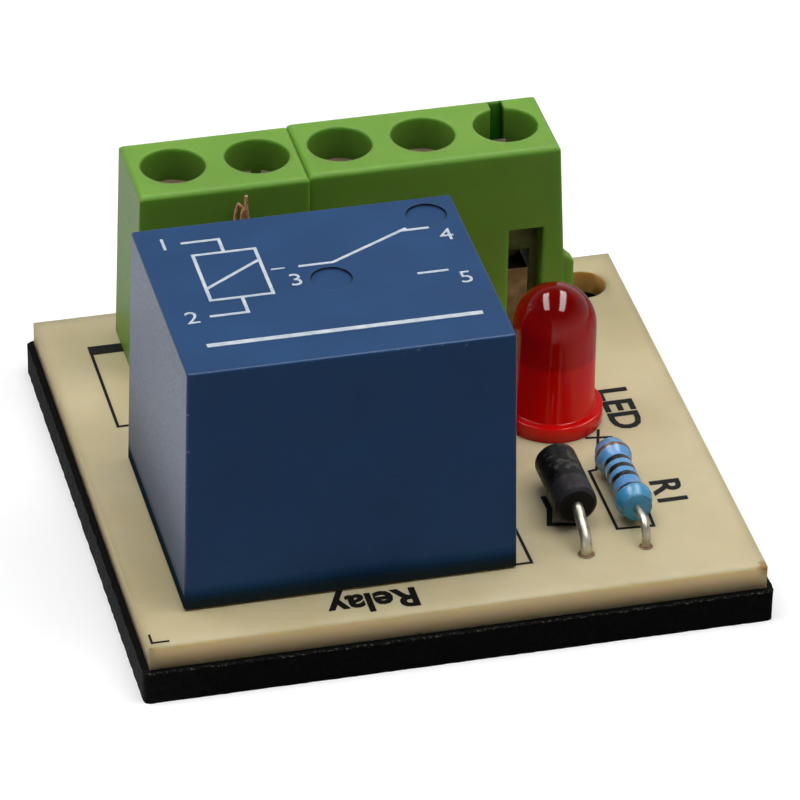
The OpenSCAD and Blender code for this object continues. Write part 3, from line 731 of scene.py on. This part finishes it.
# Each finish has its title and its light and dark colour, then the mottle's size, the roughness and how
# uneven it is, the grain's size and the relief.
# Semi-matt blue shell: hardly any mirror from the front, grey sheen at a flat angle
COVER = MouldedCover("polyester_blue_moulded", "#0f4475", "#0b3b69", 4.0, 0.34, 0.05, 0.16, 0.004, edge=0.05,
                     ior=1.33)
# Light green housings, a little waxy, with softly rounded edges
HOUSING = MouldedHousing("polyamide_green_moulded", "#78a63c", "#6f9d37", 5.0, 0.42, 0.06, 0.2, 0.006, edge=0.35,
                         ior=1.3, bleed=(0.5, 1.4, 0.12))
# Dull black compound of the relay's base and bobbin
RESIN = Finish("phenolic_black_moulded", "#191a1c", "#111214", 3.0, 0.5, 0.1, 0.2, 0.008, edge=0.1)
# Cream board face, dry and matt
LAMINATE = CutLaminate("paper_laminate_sawn", "#d1c39d", "#c3b48a", 6.0, 0.55, 0.08, 0.35, 0.004, edge=0.1,
                       ior=1.35, bleed=(1.0, 0.75, 0.35))
# Foil under the board, etched and dulled
FOIL = Finish("copper_foil_etched", "#c98752", "#a5653a", 2.0, 0.38, 0.1, 0.3, 0.004, metallic=1.0)
# Solder cones, smooth and bright with a grey bloom
SOLDER = Finish("tin_solder_hand_laid", "#cfd0d0", "#a4a6a8", 0.8, 0.3, 0.12, 0.3, 0.01, metallic=1.0)
# Varnished winding, brown gold, ribbed by its turns of 0.3 mm
WINDING = Finish("enamelled_copper_wound", "#b4652a", "#6d3512", 0.9, 0.3, 0.08, 0.3, 0.05, metallic=0.8,
                 drawn=(0.05, 0.05, 1.0))
# Annealed iron, grey and faintly drawn
IRON = Finish("soft_iron_annealed", "#8d8c89", "#6f6e6b", 1.5, 0.42, 0.1, 0.25, 0.006, edge=0.08, metallic=1.0)
# Rolled spring strip, warm and brushed along its length
BRONZE = Finish("phosphor_bronze_rolled", "#c69a5b", "#a97c42", 1.2, 0.32, 0.08, 0.2, 0.004, edge=0.05,
                metallic=1.0, drawn=(0.15, 1.0, 1.0))
# Riveted contact faces, pale and bright
SILVER = Finish("silver_alloy_headed", "#dedcd6", "#bdbab2", 0.8, 0.28, 0.1, 0.2, 0.004, edge=0.05, metallic=1.0)
# Tinned copper wire: bright, scuffed grey in streaks
TINNED = Finish("copper_wire_tinned", "#d3cdbd", "#979080", 0.6, 0.4, 0.08, 0.25, 0.004, metallic=1.0)
# Clamp screws: zinc gone brown and dull at the bottom of their holes
SCREW = Finish("steel_zinc_tarnished", "#7a6552", "#544433", 0.6, 0.5, 0.12, 0.2, 0.01, edge=0.06, metallic=0.2)
# Rising cages: nickel on pressed steel, gone dull; their dark olive tone is painted shade and a painted reflection
# of the green housing round them
CAGE = Finish("steel_nickel_pressed", "#5f7142", "#43512d", 1.2, 0.55, 0.1, 0.25, 0.006, edge=0.08, metallic=0.3)
# Contact plates: tinned strip, satin and slightly brown
PLATE = Finish("brass_strip_tinned", "#8d7a66", "#5d4d3e", 1.2, 0.4, 0.1, 0.25, 0.006, edge=0.06, metallic=1.0)
# Lead frame in the lamp, plated bright
LEAD_FRAME = Finish("steel_frame_plated", "#d4d6d8", "#b0b3b6", 0.8, 0.25, 0.08, 0.2, 0.004, metallic=1.0)
# The lamp's die, a grey yellow crystal
DIE = Finish("gallium_die_sawn", "#b9a35e", "#8a7840", 0.2, 0.3, 0.05, 0.1, 0.002)
# The lamp's lens, deep red and glossy
LENS = TintedEpoxy("epoxy_red_cast", "#d00704", "#c60503", 3.0, 0.05, 0.01, 1.2, 0.002, ior=1.55,
                   bleed=(2.5, 0.3, 0.2))
# The diode's moulding, black with a faint gloss
DIODE = MouldedDiode("epoxy_black_moulded", "#0b0b0b", "#070707", 1.0, 0.42, 0.1, 0.25, 0.02, edge=0.15, ior=1.22,
                     bands=((-10.55, 0.8, "#2c292c"),))
# The resistor's lacquer, glossy and runny
LACQUER = BandedBody("lacquer_blue_dipped", "#6ca8dc", "#5899d2", 1.5, 0.24, 0.06, 0.6, 0.01, edge=0.6, bands=(
    (-6.49, 0.13, "#6e4c3a"), (-7.53, 0.2, "#0d1014"), (-8.37, 0.2, "#0d1014"), (-9.22, 0.2, "#0d1014"),
    (-10.55, 0.13, "#10161c"), (-11.22, 0.54, "#3f97c4")))
# The pad's foam, black and without gloss
FOAM = CutFoam("foam_black_cut", "#0a0a09", "#050505", 0.8, 0.8, 0.1, 0.22, 0.06, ior=1.14)
# Board print, thick black ink with a dry edge
BLACK_INK = Finish("screen_ink_black", "#12110f", "#0a0a09", 0.6, 0.6, 0.1, 0.2, 0.006, ior=1.2)
# Cover print, thin white ink, a little grey and cloudy
WHITE_INK = Finish("pad_ink_white", "#cfd6dd", "#aebccb", 0.5, 0.45, 0.1, 0.2, 0.006)
# Flux, dried to a brown varnish round the leads
FLUX = Finish("rosin_flux_dried", "#8a5e2a", "#64421c", 0.6, 0.55, 0.08, 0.4, 0.02)
# Stray strands of bare wire, pale copper
STRAND = Finish("copper_strand_bare", "#e8bc98", "#bd8259", 0.3, 0.35, 0.1, 0.15, 0.004, metallic=0.3)

# Finish of every solid that keeps its own shape, by the start of its name
DRESSING: tuple[tuple[Finish, tuple[str, ...]], ...] = (
    (LAMINATE, ("circuit_board",)), (FOIL, ("copper_tracks",)), (SOLDER, ("solder_joints",)),
    (COVER, ("relay_cover",)), (RESIN, ("relay_base", "coil_bobbin")), (WINDING, ("coil_winding",)),
    (IRON, ("coil_core", "relay_yoke", "relay_armature")),
    (BRONZE, ("contact_blade", "open_contact_strip", "closed_contact_strip")),
    (SILVER, ("moving_contact", "open_contact_tip", "closed_contact_tip")),
    (TINNED, ("coil_pin", "diode_lead", "resistor_lead")),
    (HOUSING, ("two_pole_housing", "three_pole_housing")), (SCREW, ("clamp_screw",)), (CAGE, ("clamp_cage",)),
    (PLATE, ("clamp_contact",)), (LEAD_FRAME, ("led_cathode", "led_anode")), (DIE, ("led_die",)),
    (DIODE, ("diode_body",)), (LACQUER, ("resistor_body",)),
)


@dataclass
class PackedSolids:
    """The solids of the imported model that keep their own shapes."""

    dressing: tuple[tuple[Finish, tuple[str, ...]], ...] = DRESSING

    def build(self) -> None:
        """Gives each solid its finish."""
        for name, node in sorted(frame["nodes"].items()):
            for finish, starts in self.dressing:
                if name.startswith(starts):
                    node.material_slots[0].material = finish.material()
                    LOG.info("%s: %s", name, finish.title)


@dataclass
class FoamSheet:
    """The foam pad, cut by knife: ridged sides, a frayed top rim, pockets over the solder joints."""

    columns: int = 150
    rows: int = 5
    corner: float = 0.4
    corner_steps: int = 4
    long_edge: float = 5.0
    ridge: float = 0.02
    ridge_seed: int = 3
    fray: float = 0.03
    fray_seed: int = 8
    flush: float = 0.01
    ridged_rim: float = 0.15
    frayed_rim: float = 0.2
    margin: float = 0.3
    pocket_room: float = 0.2
    pocket_floor: float = 0.6
    mount_hole: float = 3.4
    plug_past: float = 1.0
    plug_sides: int = 28
    crease: float = 50.0

    @staticmethod
    def upright(edge: bmesh.types.BMEdge) -> bool:
        """Says whether an edge runs up a side."""
        return abs(edge.verts[0].co.z - edge.verts[1].co.z) > MM / 2

    def walls(self) -> Piece:
        """Makes the four ridged sides.

        Returns:
            The sides, open at the top and the bottom.
        """
        low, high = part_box("foam_pad")
        bpy.ops.object.select_all(action="DESELECT")
        bpy.ops.mesh.primitive_cube_add(size=1, location=(low + high) / 2, scale=high - low)
        sheet = named("foam_sheet")
        set_down(sheet)
        with editing(sheet):
            pick(sheet, Pick.FACES, lambda f: abs(f.normal.z) > 0.5)
            bpy.ops.mesh.delete(type="ONLY_FACE")
            pick(sheet, Pick.EDGES, self.upright)
            bpy.ops.mesh.bevel(offset=self.corner * MM, segments=self.corner_steps, affect="EDGES")
            pick(sheet, Pick.EDGES, lambda e: e.calc_length() > self.long_edge * MM)
            bpy.ops.mesh.subdivide(number_cuts=self.columns)
            bpy.ops.mesh.select_all(action="SELECT")
            bpy.ops.transform.vertex_random(offset=self.ridge * MM, uniform=0.1, normal=0.9, seed=self.ridge_seed)
            pick(sheet, Pick.EDGES, self.upright)
            bpy.ops.mesh.subdivide(number_cuts=self.rows)
        return sheet

    def faces(self, sheet: Piece) -> None:
        """Frays the top rim and closes the sheet above and below.

        Args:
            sheet: The ridged sides.
        """
        low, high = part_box("foam_pad")
        with editing(sheet):
            for level in (low.z, high.z):
                pick(sheet, Pick.VERTS, lambda v: abs(v.co.z - level) < self.ridged_rim * MM)
                bpy.ops.transform.resize(value=(1, 1, 0), center_override=(0, 0, level))
            pick(sheet, Pick.VERTS, lambda v: v.co.z > high.z - self.flush * MM)
            bpy.ops.transform.vertex_random(offset=self.fray * MM, uniform=0.5, normal=0.5, seed=self.fray_seed)
            for level in (low.z, high.z):
                pick(sheet, Pick.EDGES,
                     lambda e: e.is_boundary and abs(e.verts[0].co.z - level) < self.frayed_rim * MM)
                bpy.ops.mesh.edge_face_add()
                bpy.ops.mesh.inset(thickness=self.margin * MM, depth=0)
                bpy.ops.transform.resize(value=(1, 1, 0), center_override=(0, 0, level))

    def cutter(self) -> Piece:
        """Makes the solid that cuts the pockets and the mounting hole.

        Returns:
            All the cylinders in one object.
        """
        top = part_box("foam_pad")[1].z + self.plug_past * MM
        joints = frame["nodes"]["solder_joints"].copy()
        joints.data = joints.data.copy()
        joints.parent = None
        bpy.context.scene.collection.objects.link(joints)
        with editing(joints):
            bpy.ops.mesh.remove_doubles(threshold=WELD)
            bpy.ops.mesh.separate(type="LOOSE")
        drills = []
        for cone in list(bpy.context.selected_objects):
            xs = [v.co.x for v in cone.data.vertices]
            ys = [v.co.y for v in cone.data.vertices]
            radius = (max(xs) - min(xs)) / 2 + self.pocket_room * MM
            drills.append(((min(xs) + max(xs)) / 2, (min(ys) + max(ys)) / 2, radius, self.pocket_floor * MM))
            bpy.data.objects.remove(cone)
        hole = mounting_hole()
        drills.append((hole.x, hole.y, self.mount_hole / 2 * MM, -self.plug_past * MM))
        plugs = []
        for x, y, radius, floor in drills:
            bpy.ops.mesh.primitive_cylinder_add(vertices=self.plug_sides, radius=radius, depth=top - floor,
                                                location=(x, y, (top + floor) / 2))
            plugs.append(bpy.context.object)
        return joined("pad_cutter", plugs)

    def build(self) -> None:
        """Makes, cuts and dresses the sheet."""
        sheet = self.walls()
        self.faces(sheet)
        settle(sheet, self.crease)
        cutter = self.cutter()
        apply_modifier(sheet, "BOOLEAN", object=cutter, operation="DIFFERENCE", solver="EXACT")
        bpy.data.objects.remove(cutter)
        settle(sheet, self.crease)
        seat(sheet, FOAM, "foam", "foam_pad")


@dataclass
class LampLens:
    """The lamp's cast lens: a flange with one flat, a slightly tapered barrel and a round end."""

    flange: float = 3.0
    flange_height: float = 1.0
    soft: float = 0.04
    barrel: float = 2.5
    taper: float = 0.03
    flat: float = 2.52
    steps: int = 15
    last_turn: float = 89.2
    segments: int = 72
    crease: float = 38.0

    def build(self) -> None:
        """Turns the lens, cuts its flat and dresses it."""
        low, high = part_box("led_lens")
        rim, step, barrel, soft, third = self.flange, self.flange_height, self.barrel, self.soft, self.soft / 3
        spring = (high.z - low.z) / MM - barrel
        profile = [(0.0, rim - soft), (third, rim - third), (soft, rim), (step - soft, rim),
                   (step - third, rim - third), (step, rim - soft), (step, rim - 2 * soft),
                   (step, barrel + 2 * soft), (step, barrel + soft), (step + third, barrel + third),
                   (step + soft, barrel), (spring, barrel - self.taper)]
        for count in range(1, self.steps + 1):
            turn = math.radians(self.last_turn) * count / self.steps
            profile.append((spring + barrel * math.sin(turn), (barrel - self.taper) * math.cos(turn)))
        lens = turned("lamp_lens", profile, self.segments)
        with editing(lens):
            bpy.ops.mesh.bisect(plane_co=(-self.flat * MM, 0, 0), plane_no=(1, 0, 0), use_fill=True,
                                clear_inner=True)
        lens.location = (high.x - self.flange * MM, (low.y + high.y) / 2, low.z)
        settle(lens, self.crease)
        seat(lens, LENS, "lamp_red", "led_lens")


@dataclass(frozen=True)
class Stroke:
    """One printed line: its corners and its width, in millimetres."""

    points: tuple[Pair, ...]
    width: float

    def build(self, level: float, ink: float) -> Piece:
        """Draws the line as a thin raised ribbon.

        Args:
            level: Height of the printed face, in metres.
            ink: Thickness of the ink, in metres.

        Returns:
            The ribbon.
        """
        bpy.ops.object.select_all(action="DESELECT")
        x, y = self.points[0]
        bpy.ops.mesh.primitive_plane_add(size=self.width * MM, location=(x * MM, y * MM, level))
        line = named("stroke")
        with editing(line):
            bpy.ops.mesh.merge(type="CENTER")
            bpy.ops.mesh.select_mode(type="VERT")
            bpy.ops.mesh.select_all(action="SELECT")
            for (x0, y0), (x1, y1) in zip(self.points, self.points[1:]):
                bpy.ops.mesh.extrude_vertices_move(
                    TRANSFORM_OT_translate={"value": ((x1 - x0) * MM, (y1 - y0) * MM, 0)})
            bpy.ops.mesh.select_mode(type="EDGE")
            bpy.ops.mesh.select_all(action="SELECT")
            bpy.ops.mesh.remove_doubles(threshold=WELD)
            bpy.ops.mesh.extrude_edges_move(TRANSFORM_OT_translate={"value": (0, 0, ink)})
        apply_modifier(line, "SOLIDIFY", thickness=self.width * MM, offset=0.0, use_even_offset=True)
        return line


@dataclass(frozen=True)
class Legend:
    """One printed number or plain word: its signs, middle, height in millimetres and turn in degrees."""

    signs: str
    middle: Pair
    height: float
    turn: float = 0.0
    weight: float = 0.0

    def build(self, level: float, ink: float) -> Piece:
        """Draws the signs, thin and raised.

        Args:
            level: Height of the printed face, in metres.
            ink: Thickness of the ink, in metres.

        Returns:
            The signs as a mesh.
        """
        bpy.ops.object.select_all(action="DESELECT")
        bpy.ops.object.text_add(location=(self.middle[0] * MM, self.middle[1] * MM, level + ink / 2),
                                rotation=(0, 0, math.radians(self.turn)))
        text = bpy.context.object
        text.data.body = self.signs
        text.data.align_x = text.data.align_y = "CENTER"
        text.data.size = self.height / CAPITALS * MM
        text.data.extrude = ink / 2
        text.data.offset = self.weight * MM
        text.data.resolution_u = 3
        bpy.ops.object.convert(target="MESH")
        return named("legend")


@dataclass
class Print:
    """Ink on one flat face: lines, plain numbers and plain words, each laid a little over the last."""

    name: str
    level: float
    finish: Finish
    slot: str
    marks: list[Stroke | Legend] = field(default_factory=list)
    ink: float = 0.02
    layer: float = 0.0015
    sunk: float = 0.005
    crease: float = 30.0

    def build(self) -> None:
        """Draws every mark and joins them into one piece."""
        sunk = self.sunk * MM
        parts = []
        for count, mark in enumerate(self.marks):
            parts.append(mark.build(self.level - sunk, (self.ink + count * self.layer) * MM + sunk))
            set_down(parts[-1])
        piece = joined(self.name, parts)
        settle(piece, self.crease)
        seat(piece, self.finish, self.slot)


def board_marks() -> list[Stroke | Legend]:
    """Lists the outlines and the names of parts printed on the board.

    Returns:
        The marks, in the board's own place in millimetres.
    """
    fine, thin, broad, bold = 0.13, 0.18, 0.32, 0.9
    lines = [
        Stroke(((5.0, 2.6), (4.9, -9.9), (4.98, -13.75), (3.0, -13.75)), thin),
        Stroke(((-13.0, 5.0), (-15.3, 5.0), (-15.3, 13.6)), thin),
        Stroke(((-15.4, 13.3), (-13.0, 13.3)), bold),
        Stroke(((12.3, -1.5), (11.1, -5.5)), thin),
        Stroke(((11.3, -2.2), (12.9, -2.45)), thin),
        Stroke(((12.9, -9.8), (12.8, -11.75), (10.65, -11.6), (10.62, -5.6), (11.1, -5.5)), thin),
        Stroke(((7.3, -7.5), (7.35, -8.8), (6.95, -10.3), (8.9, -10.75)), broad),
        Stroke(((-17.8, -15.8), (-17.8, -16.62), (-16.8, -16.62)), fine),
    ]
    names = [
        Legend("Relay", (-4.7, -15.4), 1.7, 180.0, 0.07),
        Legend("LED", (14.05, 0.4), 1.8, -90.0, 0.06),
        Legend("R1", (14.5, -8.65), 1.75, -90.0, 0.05),
    ]
    return lines + names


def cover_marks() -> list[Stroke | Legend]:
    """Lists the wiring diagram printed on the relay's cover.

    Returns:
        The marks, in the board's own place in millimetres.
    """
    dash, line, bar, digit = 0.12, 0.2, 0.35, 1.2
    return [
        Stroke(((-12.6, -0.5), (-10.4, -0.5), (-10.4, -1.9)), line),
        Stroke(((-12.2, -1.9), (-8.6, -1.9), (-8.6, -6.7), (-12.2, -6.7), (-12.2, -1.9)), line),
        Stroke(((-12.2, -5.5), (-8.6, -3.1)), line),
        Stroke(((-10.4, -6.7), (-10.4, -8.3), (-12.6, -8.3)), line),
        Stroke(((-6.6, -4.3), (-4.6, -4.3), (0.3, -1.7)), line),
        Stroke(((1.6, -1.9), (-0.2, -1.9)), line),
        Stroke(((1.6, -6.5), (-0.2, -6.5)), line),
        Stroke(((-8.2, -4.3), (-7.4, -4.3)), dash),
        Legend("1", (-13.6, -0.5), digit),
        Legend("2", (-13.6, -8.3), digit),
        Legend("3", (-7.05, -5.7), digit),
        Legend("4", (2.4, -2.9), digit),
        Legend("5", (2.4, -7.5), digit),
        Stroke(((-13.4, -11.2), (2.4, -11.2)), bar),
    ]


@dataclass
class FluxCollars:
    """Dried flux that crept up the leads where they enter the board.

    The slope is the collar's rings, as shares of its lift and its reach.
    """

    reach: float = 0.12
    lift: float = 0.07
    slope: tuple[Pair, ...] = ((0.2, 0.8), (0.45, 0.4), (0.65, 0.15))
    sunk: float = 0.01
    lip: float = 0.03
    overlap: float = 0.02
    ragged: float = 0.04
    ragged_below: float = 0.03
    segments: int = 28
    crease: float = 60.0
    leads: tuple[str, ...] = ("diode_lead_1", "diode_lead_2", "resistor_lead_1", "resistor_lead_2")

    def build(self) -> None:
        """Makes a ragged collar round each lead and dresses them."""
        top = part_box("circuit_board")[1].z
        collars = []
        for name in self.leads:
            low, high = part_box(name)
            wire = (high.x - low.x) / 2 / MM
            near_front = low.y < (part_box("resistor_body")[0].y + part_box("resistor_body")[1].y) / 2
            hole = low.y + wire * MM if near_front else high.y - wire * MM
            profile = [(-self.sunk, wire + self.reach)]
            profile += [(self.lift * up, wire + self.reach * out) for up, out in self.slope]
            profile += [(self.lift, wire + self.lip), (self.lift, wire - self.overlap)]
            collar = turned("collar", profile, self.segments)
            collar.location = ((low.x + high.x) / 2, hole, top)
            set_down(collar)
            with editing(collar):
                pick(collar, Pick.VERTS, lambda v: v.co.z < top + self.ragged_below * MM)
                bpy.ops.transform.vertex_random(offset=self.ragged * MM, uniform=0.0, normal=1.0,
                                                seed=len(collars))
            collars.append(collar)
        piece = joined("flux_collars", collars)
        settle(piece, self.crease)
        seat(piece, FLUX, "solder")


@dataclass
class StrayStrands:
    """Fine strands of bare wire caught in the second pole's window."""

    thickness: float = 0.105
    crease: float = 60.0
    routes: tuple[tuple[Triple, ...], ...] = (
        ((-6.3, 9.9, 10.6), (-6.9, 8.9, 12.0), (-7.4, 8.8, 13.6),
         (-7.45, 8.8, 14.8), (-7.3, 8.85, 15.3), (-7.1, 8.9, 15.6)),
        ((-6.1, 9.9, 10.2), (-6.6, 8.9, 12.2), (-6.8, 8.8, 13.8),
         (-6.7, 8.75, 14.9), (-6.9, 8.75, 15.4), (-7.2, 8.8, 15.6)),
        ((-6.0, 9.9, 10.4), (-6.4, 8.8, 12.6), (-6.6, 8.7, 14.2),
         (-6.6, 8.7, 14.9), (-6.75, 8.75, 15.4), (-6.7, 8.8, 16.1)),
        ((-6.3, 9.9, 10.5), (-6.8, 8.9, 12.5), (-7.05, 8.7, 14.2),
         (-7.05, 8.65, 14.8), (-6.98, 8.65, 15.1), (-6.9, 8.65, 15.3)),
    )

    def build(self) -> None:
        """Draws the strands as round wires and dresses them."""
        wires = []
        for route in self.routes:
            bpy.ops.object.select_all(action="DESELECT")
            bpy.ops.curve.primitive_nurbs_path_add(location=(0, 0, 0))
            curve = bpy.context.object
            spline = curve.data.splines[0]
            spline.points.add(max(0, len(route) - len(spline.points)))
            for point, knot in zip(spline.points, route + (route[-1],) * len(spline.points)):
                point.co = (*(v * MM for v in knot), 1.0)
            spline.use_endpoint_u = True
            curve.data.bevel_depth = self.thickness * MM
            curve.data.bevel_resolution = 2
            curve.data.use_fill_caps = True
            bpy.ops.object.convert(target="MESH")
            wires.append(bpy.context.object)
        piece = joined("stray_strands", wires)
        settle(piece, self.crease)
        seat(piece, STRAND, "copper_foil")


@dataclass(frozen=True)
class Lamp:
    """One flat lamp: its middle and size in millimetres, its brightness, and whether only mirrors show it."""

    name: str
    middle: Triple
    size: Pair
    brightness: float
    mirrored: bool


@dataclass
class Studio:
    """The camera at the photograph's place, a soft box, two mirrored strips, a pale floor and a white room.

    Places and distances are in millimetres; the floor's size is in metres.
    """

    position: Triple = (-71.85, -283.137, 202.277)
    right: Triple = (0.97097, -0.238805, 0.013745)
    down: Triple = (-0.121897, -0.543432, -0.830556)
    forward: Triple = (0.20581, 0.80477, -0.556766)
    focal_pixels: float = 6002.763
    frame_pixels: float = 800.0
    sensor: float = 36.0
    nearest: float = 10.0
    hung: tuple[Lamp, ...] = (
        Lamp("soft_box", (20.0, -40.0, 520.0), (1000.0, 300.0), 12.0, False),
        Lamp("left_strip", (-160.3, 150.2, 500.0), (133.0, 560.0), 42.0, True),
        Lamp("right_strip", (206.1, 105.2, 500.0), (140.0, 716.0), 42.0, True),
    )
    lamp_turn: float = -15.7
    ambient: float = 0.16
    ceiling: float = 0.05
    wall_top: float = 0.03
    ceiling_from: float = 0.75
    floor_size: float = 6.0
    floor_tone: float = 0.75
    floor_bounce: float = 0.15
    floor_glow: float = 0.36
    glow_near: float = 100.0
    glow_far: float = 500.0
    # Floor tones seen only in mirrors, as painted reflections
    mirrored_front: float = 0.65
    mirrored_back: float = 0.25
    back_half: float = 20.0
    mirrored_left: float = 0.82
    left_start: float = -14.0
    left_full: float = -18.0

    def camera(self) -> None:
        """Sets the camera where the photograph was taken from."""
        data = bpy.data.cameras.new("photo_camera")
        data.sensor_width = self.sensor
        data.lens = self.focal_pixels * self.sensor / self.frame_pixels
        data.clip_start = self.nearest * MM
        camera = bpy.data.objects.new("photo_camera", data)
        bpy.context.scene.collection.objects.link(camera)
        axes = Matrix((self.right, [-v for v in self.down], [-v for v in self.forward])).transposed().to_4x4()
        camera.matrix_world = Matrix.Translation(Vector(self.position) * MM) @ axes
        bpy.context.scene.camera = camera

    def lamps(self) -> None:
        """Hangs a wide soft box over the board, and two long strips that show only in shiny faces."""
        for lamp in self.hung:
            data = bpy.data.lights.new(lamp.name, "AREA")
            data.shape = "RECTANGLE"
            data.size, data.size_y = (length * MM for length in lamp.size)
            data.energy = lamp.brightness * data.size * data.size_y
            light = bpy.data.objects.new(lamp.name, data)
            light.location = Vector(lamp.middle) * MM
            light.rotation_euler.z = math.radians(self.lamp_turn)
            light.visible_diffuse = not lamp.mirrored
            light.visible_glossy = light.visible_transmission = lamp.mirrored
            bpy.context.scene.collection.objects.link(light)

    def rays(self, nodes: Nodes) -> tuple[Socket, Socket]:
        """Tells the camera's rays, and those from shiny and clear faces, from rays that light the object.

        Args:
            nodes: Nodes of the floor or the world.

        Returns:
            One for the camera's rays, and one for mirror and glass rays, each else nought.
        """
        path = nodes.add("LightPath").node.outputs
        mirror = nodes.add("Math", {0: path["Is Glossy Ray"], 1: path["Is Transmission Ray"]}, operation="MAXIMUM")
        return path["Is Camera Ray"], mirror

    def world(self) -> None:
        """Lights the room softly, white to the camera, and in mirrors white at the walls and dark above."""
        world = bpy.data.worlds.new("white_room")
        world.use_nodes = True
        world.node_tree.nodes.clear()
        nodes = Nodes(world.node_tree)
        camera, mirror = self.rays(nodes)
        up = nodes.add("SeparateXYZ", {0: nodes.add("TexCoord", out="Generated")}, "Z")
        shown = nodes.add("MapRange", {"Value": up, "From Min": self.wall_top, "From Max": self.ceiling_from,
                                       "To Min": 1.0, "To Max": self.ceiling})
        mirrored = nodes.add("MapRange", {"Value": mirror, "To Min": self.ambient, "To Max": shown})
        strength = nodes.add("MapRange", {"Value": camera, "To Min": mirrored, "To Max": 1.0})
        sky = nodes.add("Background", {"Color": linear("#ffffff"), "Strength": strength})
        nodes.add("OutputWorld", {"Surface": sky})
        bpy.context.scene.world = world

    def floor(self) -> None:
        """Lays the pale floor, which keeps the object's shadow; in mirrors it shows painted reflections, darker in
        front and behind and glowing at the left.
        """
        bpy.ops.object.select_all(action="DESELECT")
        bpy.ops.mesh.primitive_plane_add(size=self.floor_size, location=(0, 0, 0))
        floor = named("studio_floor")
        material = bpy.data.materials.new("paper_white_matt")
        material.use_nodes = True
        material.node_tree.nodes.clear()
        nodes = Nodes(material.node_tree)
        nodes.place = nodes.add("TexCoord", out="Object")
        camera, mirror = self.rays(nodes)
        axes = nodes.add("SeparateXYZ", {0: nodes.place}).node.outputs
        # Painted reflection: the floor's tone in mirrors falls from front to back
        behind = nodes.add("MapRange", {
            "Value": axes["Y"], "From Min": -self.back_half * MM, "From Max": self.back_half * MM,
            "To Min": self.mirrored_front, "To Max": self.mirrored_back})
        lit = nodes.add("MapRange", {"Value": mirror, "To Min": self.floor_bounce, "To Max": behind})
        tone = nodes.add("MapRange", {"Value": camera, "To Min": lit, "To Max": self.floor_tone})
        paper = nodes.add("BsdfDiffuse", {"Color": tone})
        away = nodes.add("VectorMath", {0: nodes.place}, "Value", operation="LENGTH")
        far = nodes.add("MapRange", {
            "Value": away, "From Min": self.glow_near * MM, "From Max": self.glow_far * MM,
            "To Min": self.floor_glow, "To Max": 1.0})
        # Painted reflection: a glow at the left that only mirrors see
        left = nodes.add("MapRange", {"Value": axes["X"], "From Min": self.left_start * MM,
                                      "From Max": self.left_full * MM, "To Max": self.mirrored_left})
        sheen = nodes.add("Math", {0: left, 1: mirror}, operation="MULTIPLY")
        glow = nodes.add("MapRange", {"Value": camera, "To Min": sheen, "To Max": far})
        white = nodes.add("Emission", {"Strength": glow})
        nodes.add("OutputMaterial", {"Surface": nodes.add("AddShader", {0: paper, 1: white})})
        floor.data.materials.append(material)

    def build(self) -> None:
        """Sets up the studio."""
        self.camera()
        self.lamps()
        self.world()
        self.floor()
        bpy.context.scene.view_settings.view_transform = "Standard"


def main() -> None:
    """Builds the dressed board and its studio."""
    logging.basicConfig(level=logging.INFO, format="%(name)s: %(message)s")
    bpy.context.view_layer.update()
    board_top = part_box("circuit_board")[1].z
    cover_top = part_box("relay_cover")[1].z
    Studio().build()
    PackedSolids().build()
    FoamSheet().build()
    LampLens().build()
    Print("board_print", board_top, BLACK_INK, "board_laminate", board_marks()).build()
    Print("cover_print", cover_top, WHITE_INK, "relay_blue", cover_marks()).build()
    FluxCollars().build()
    StrayStrands().build()
    LOG.info("sizes written")


if __name__ == "__main__":
    main()
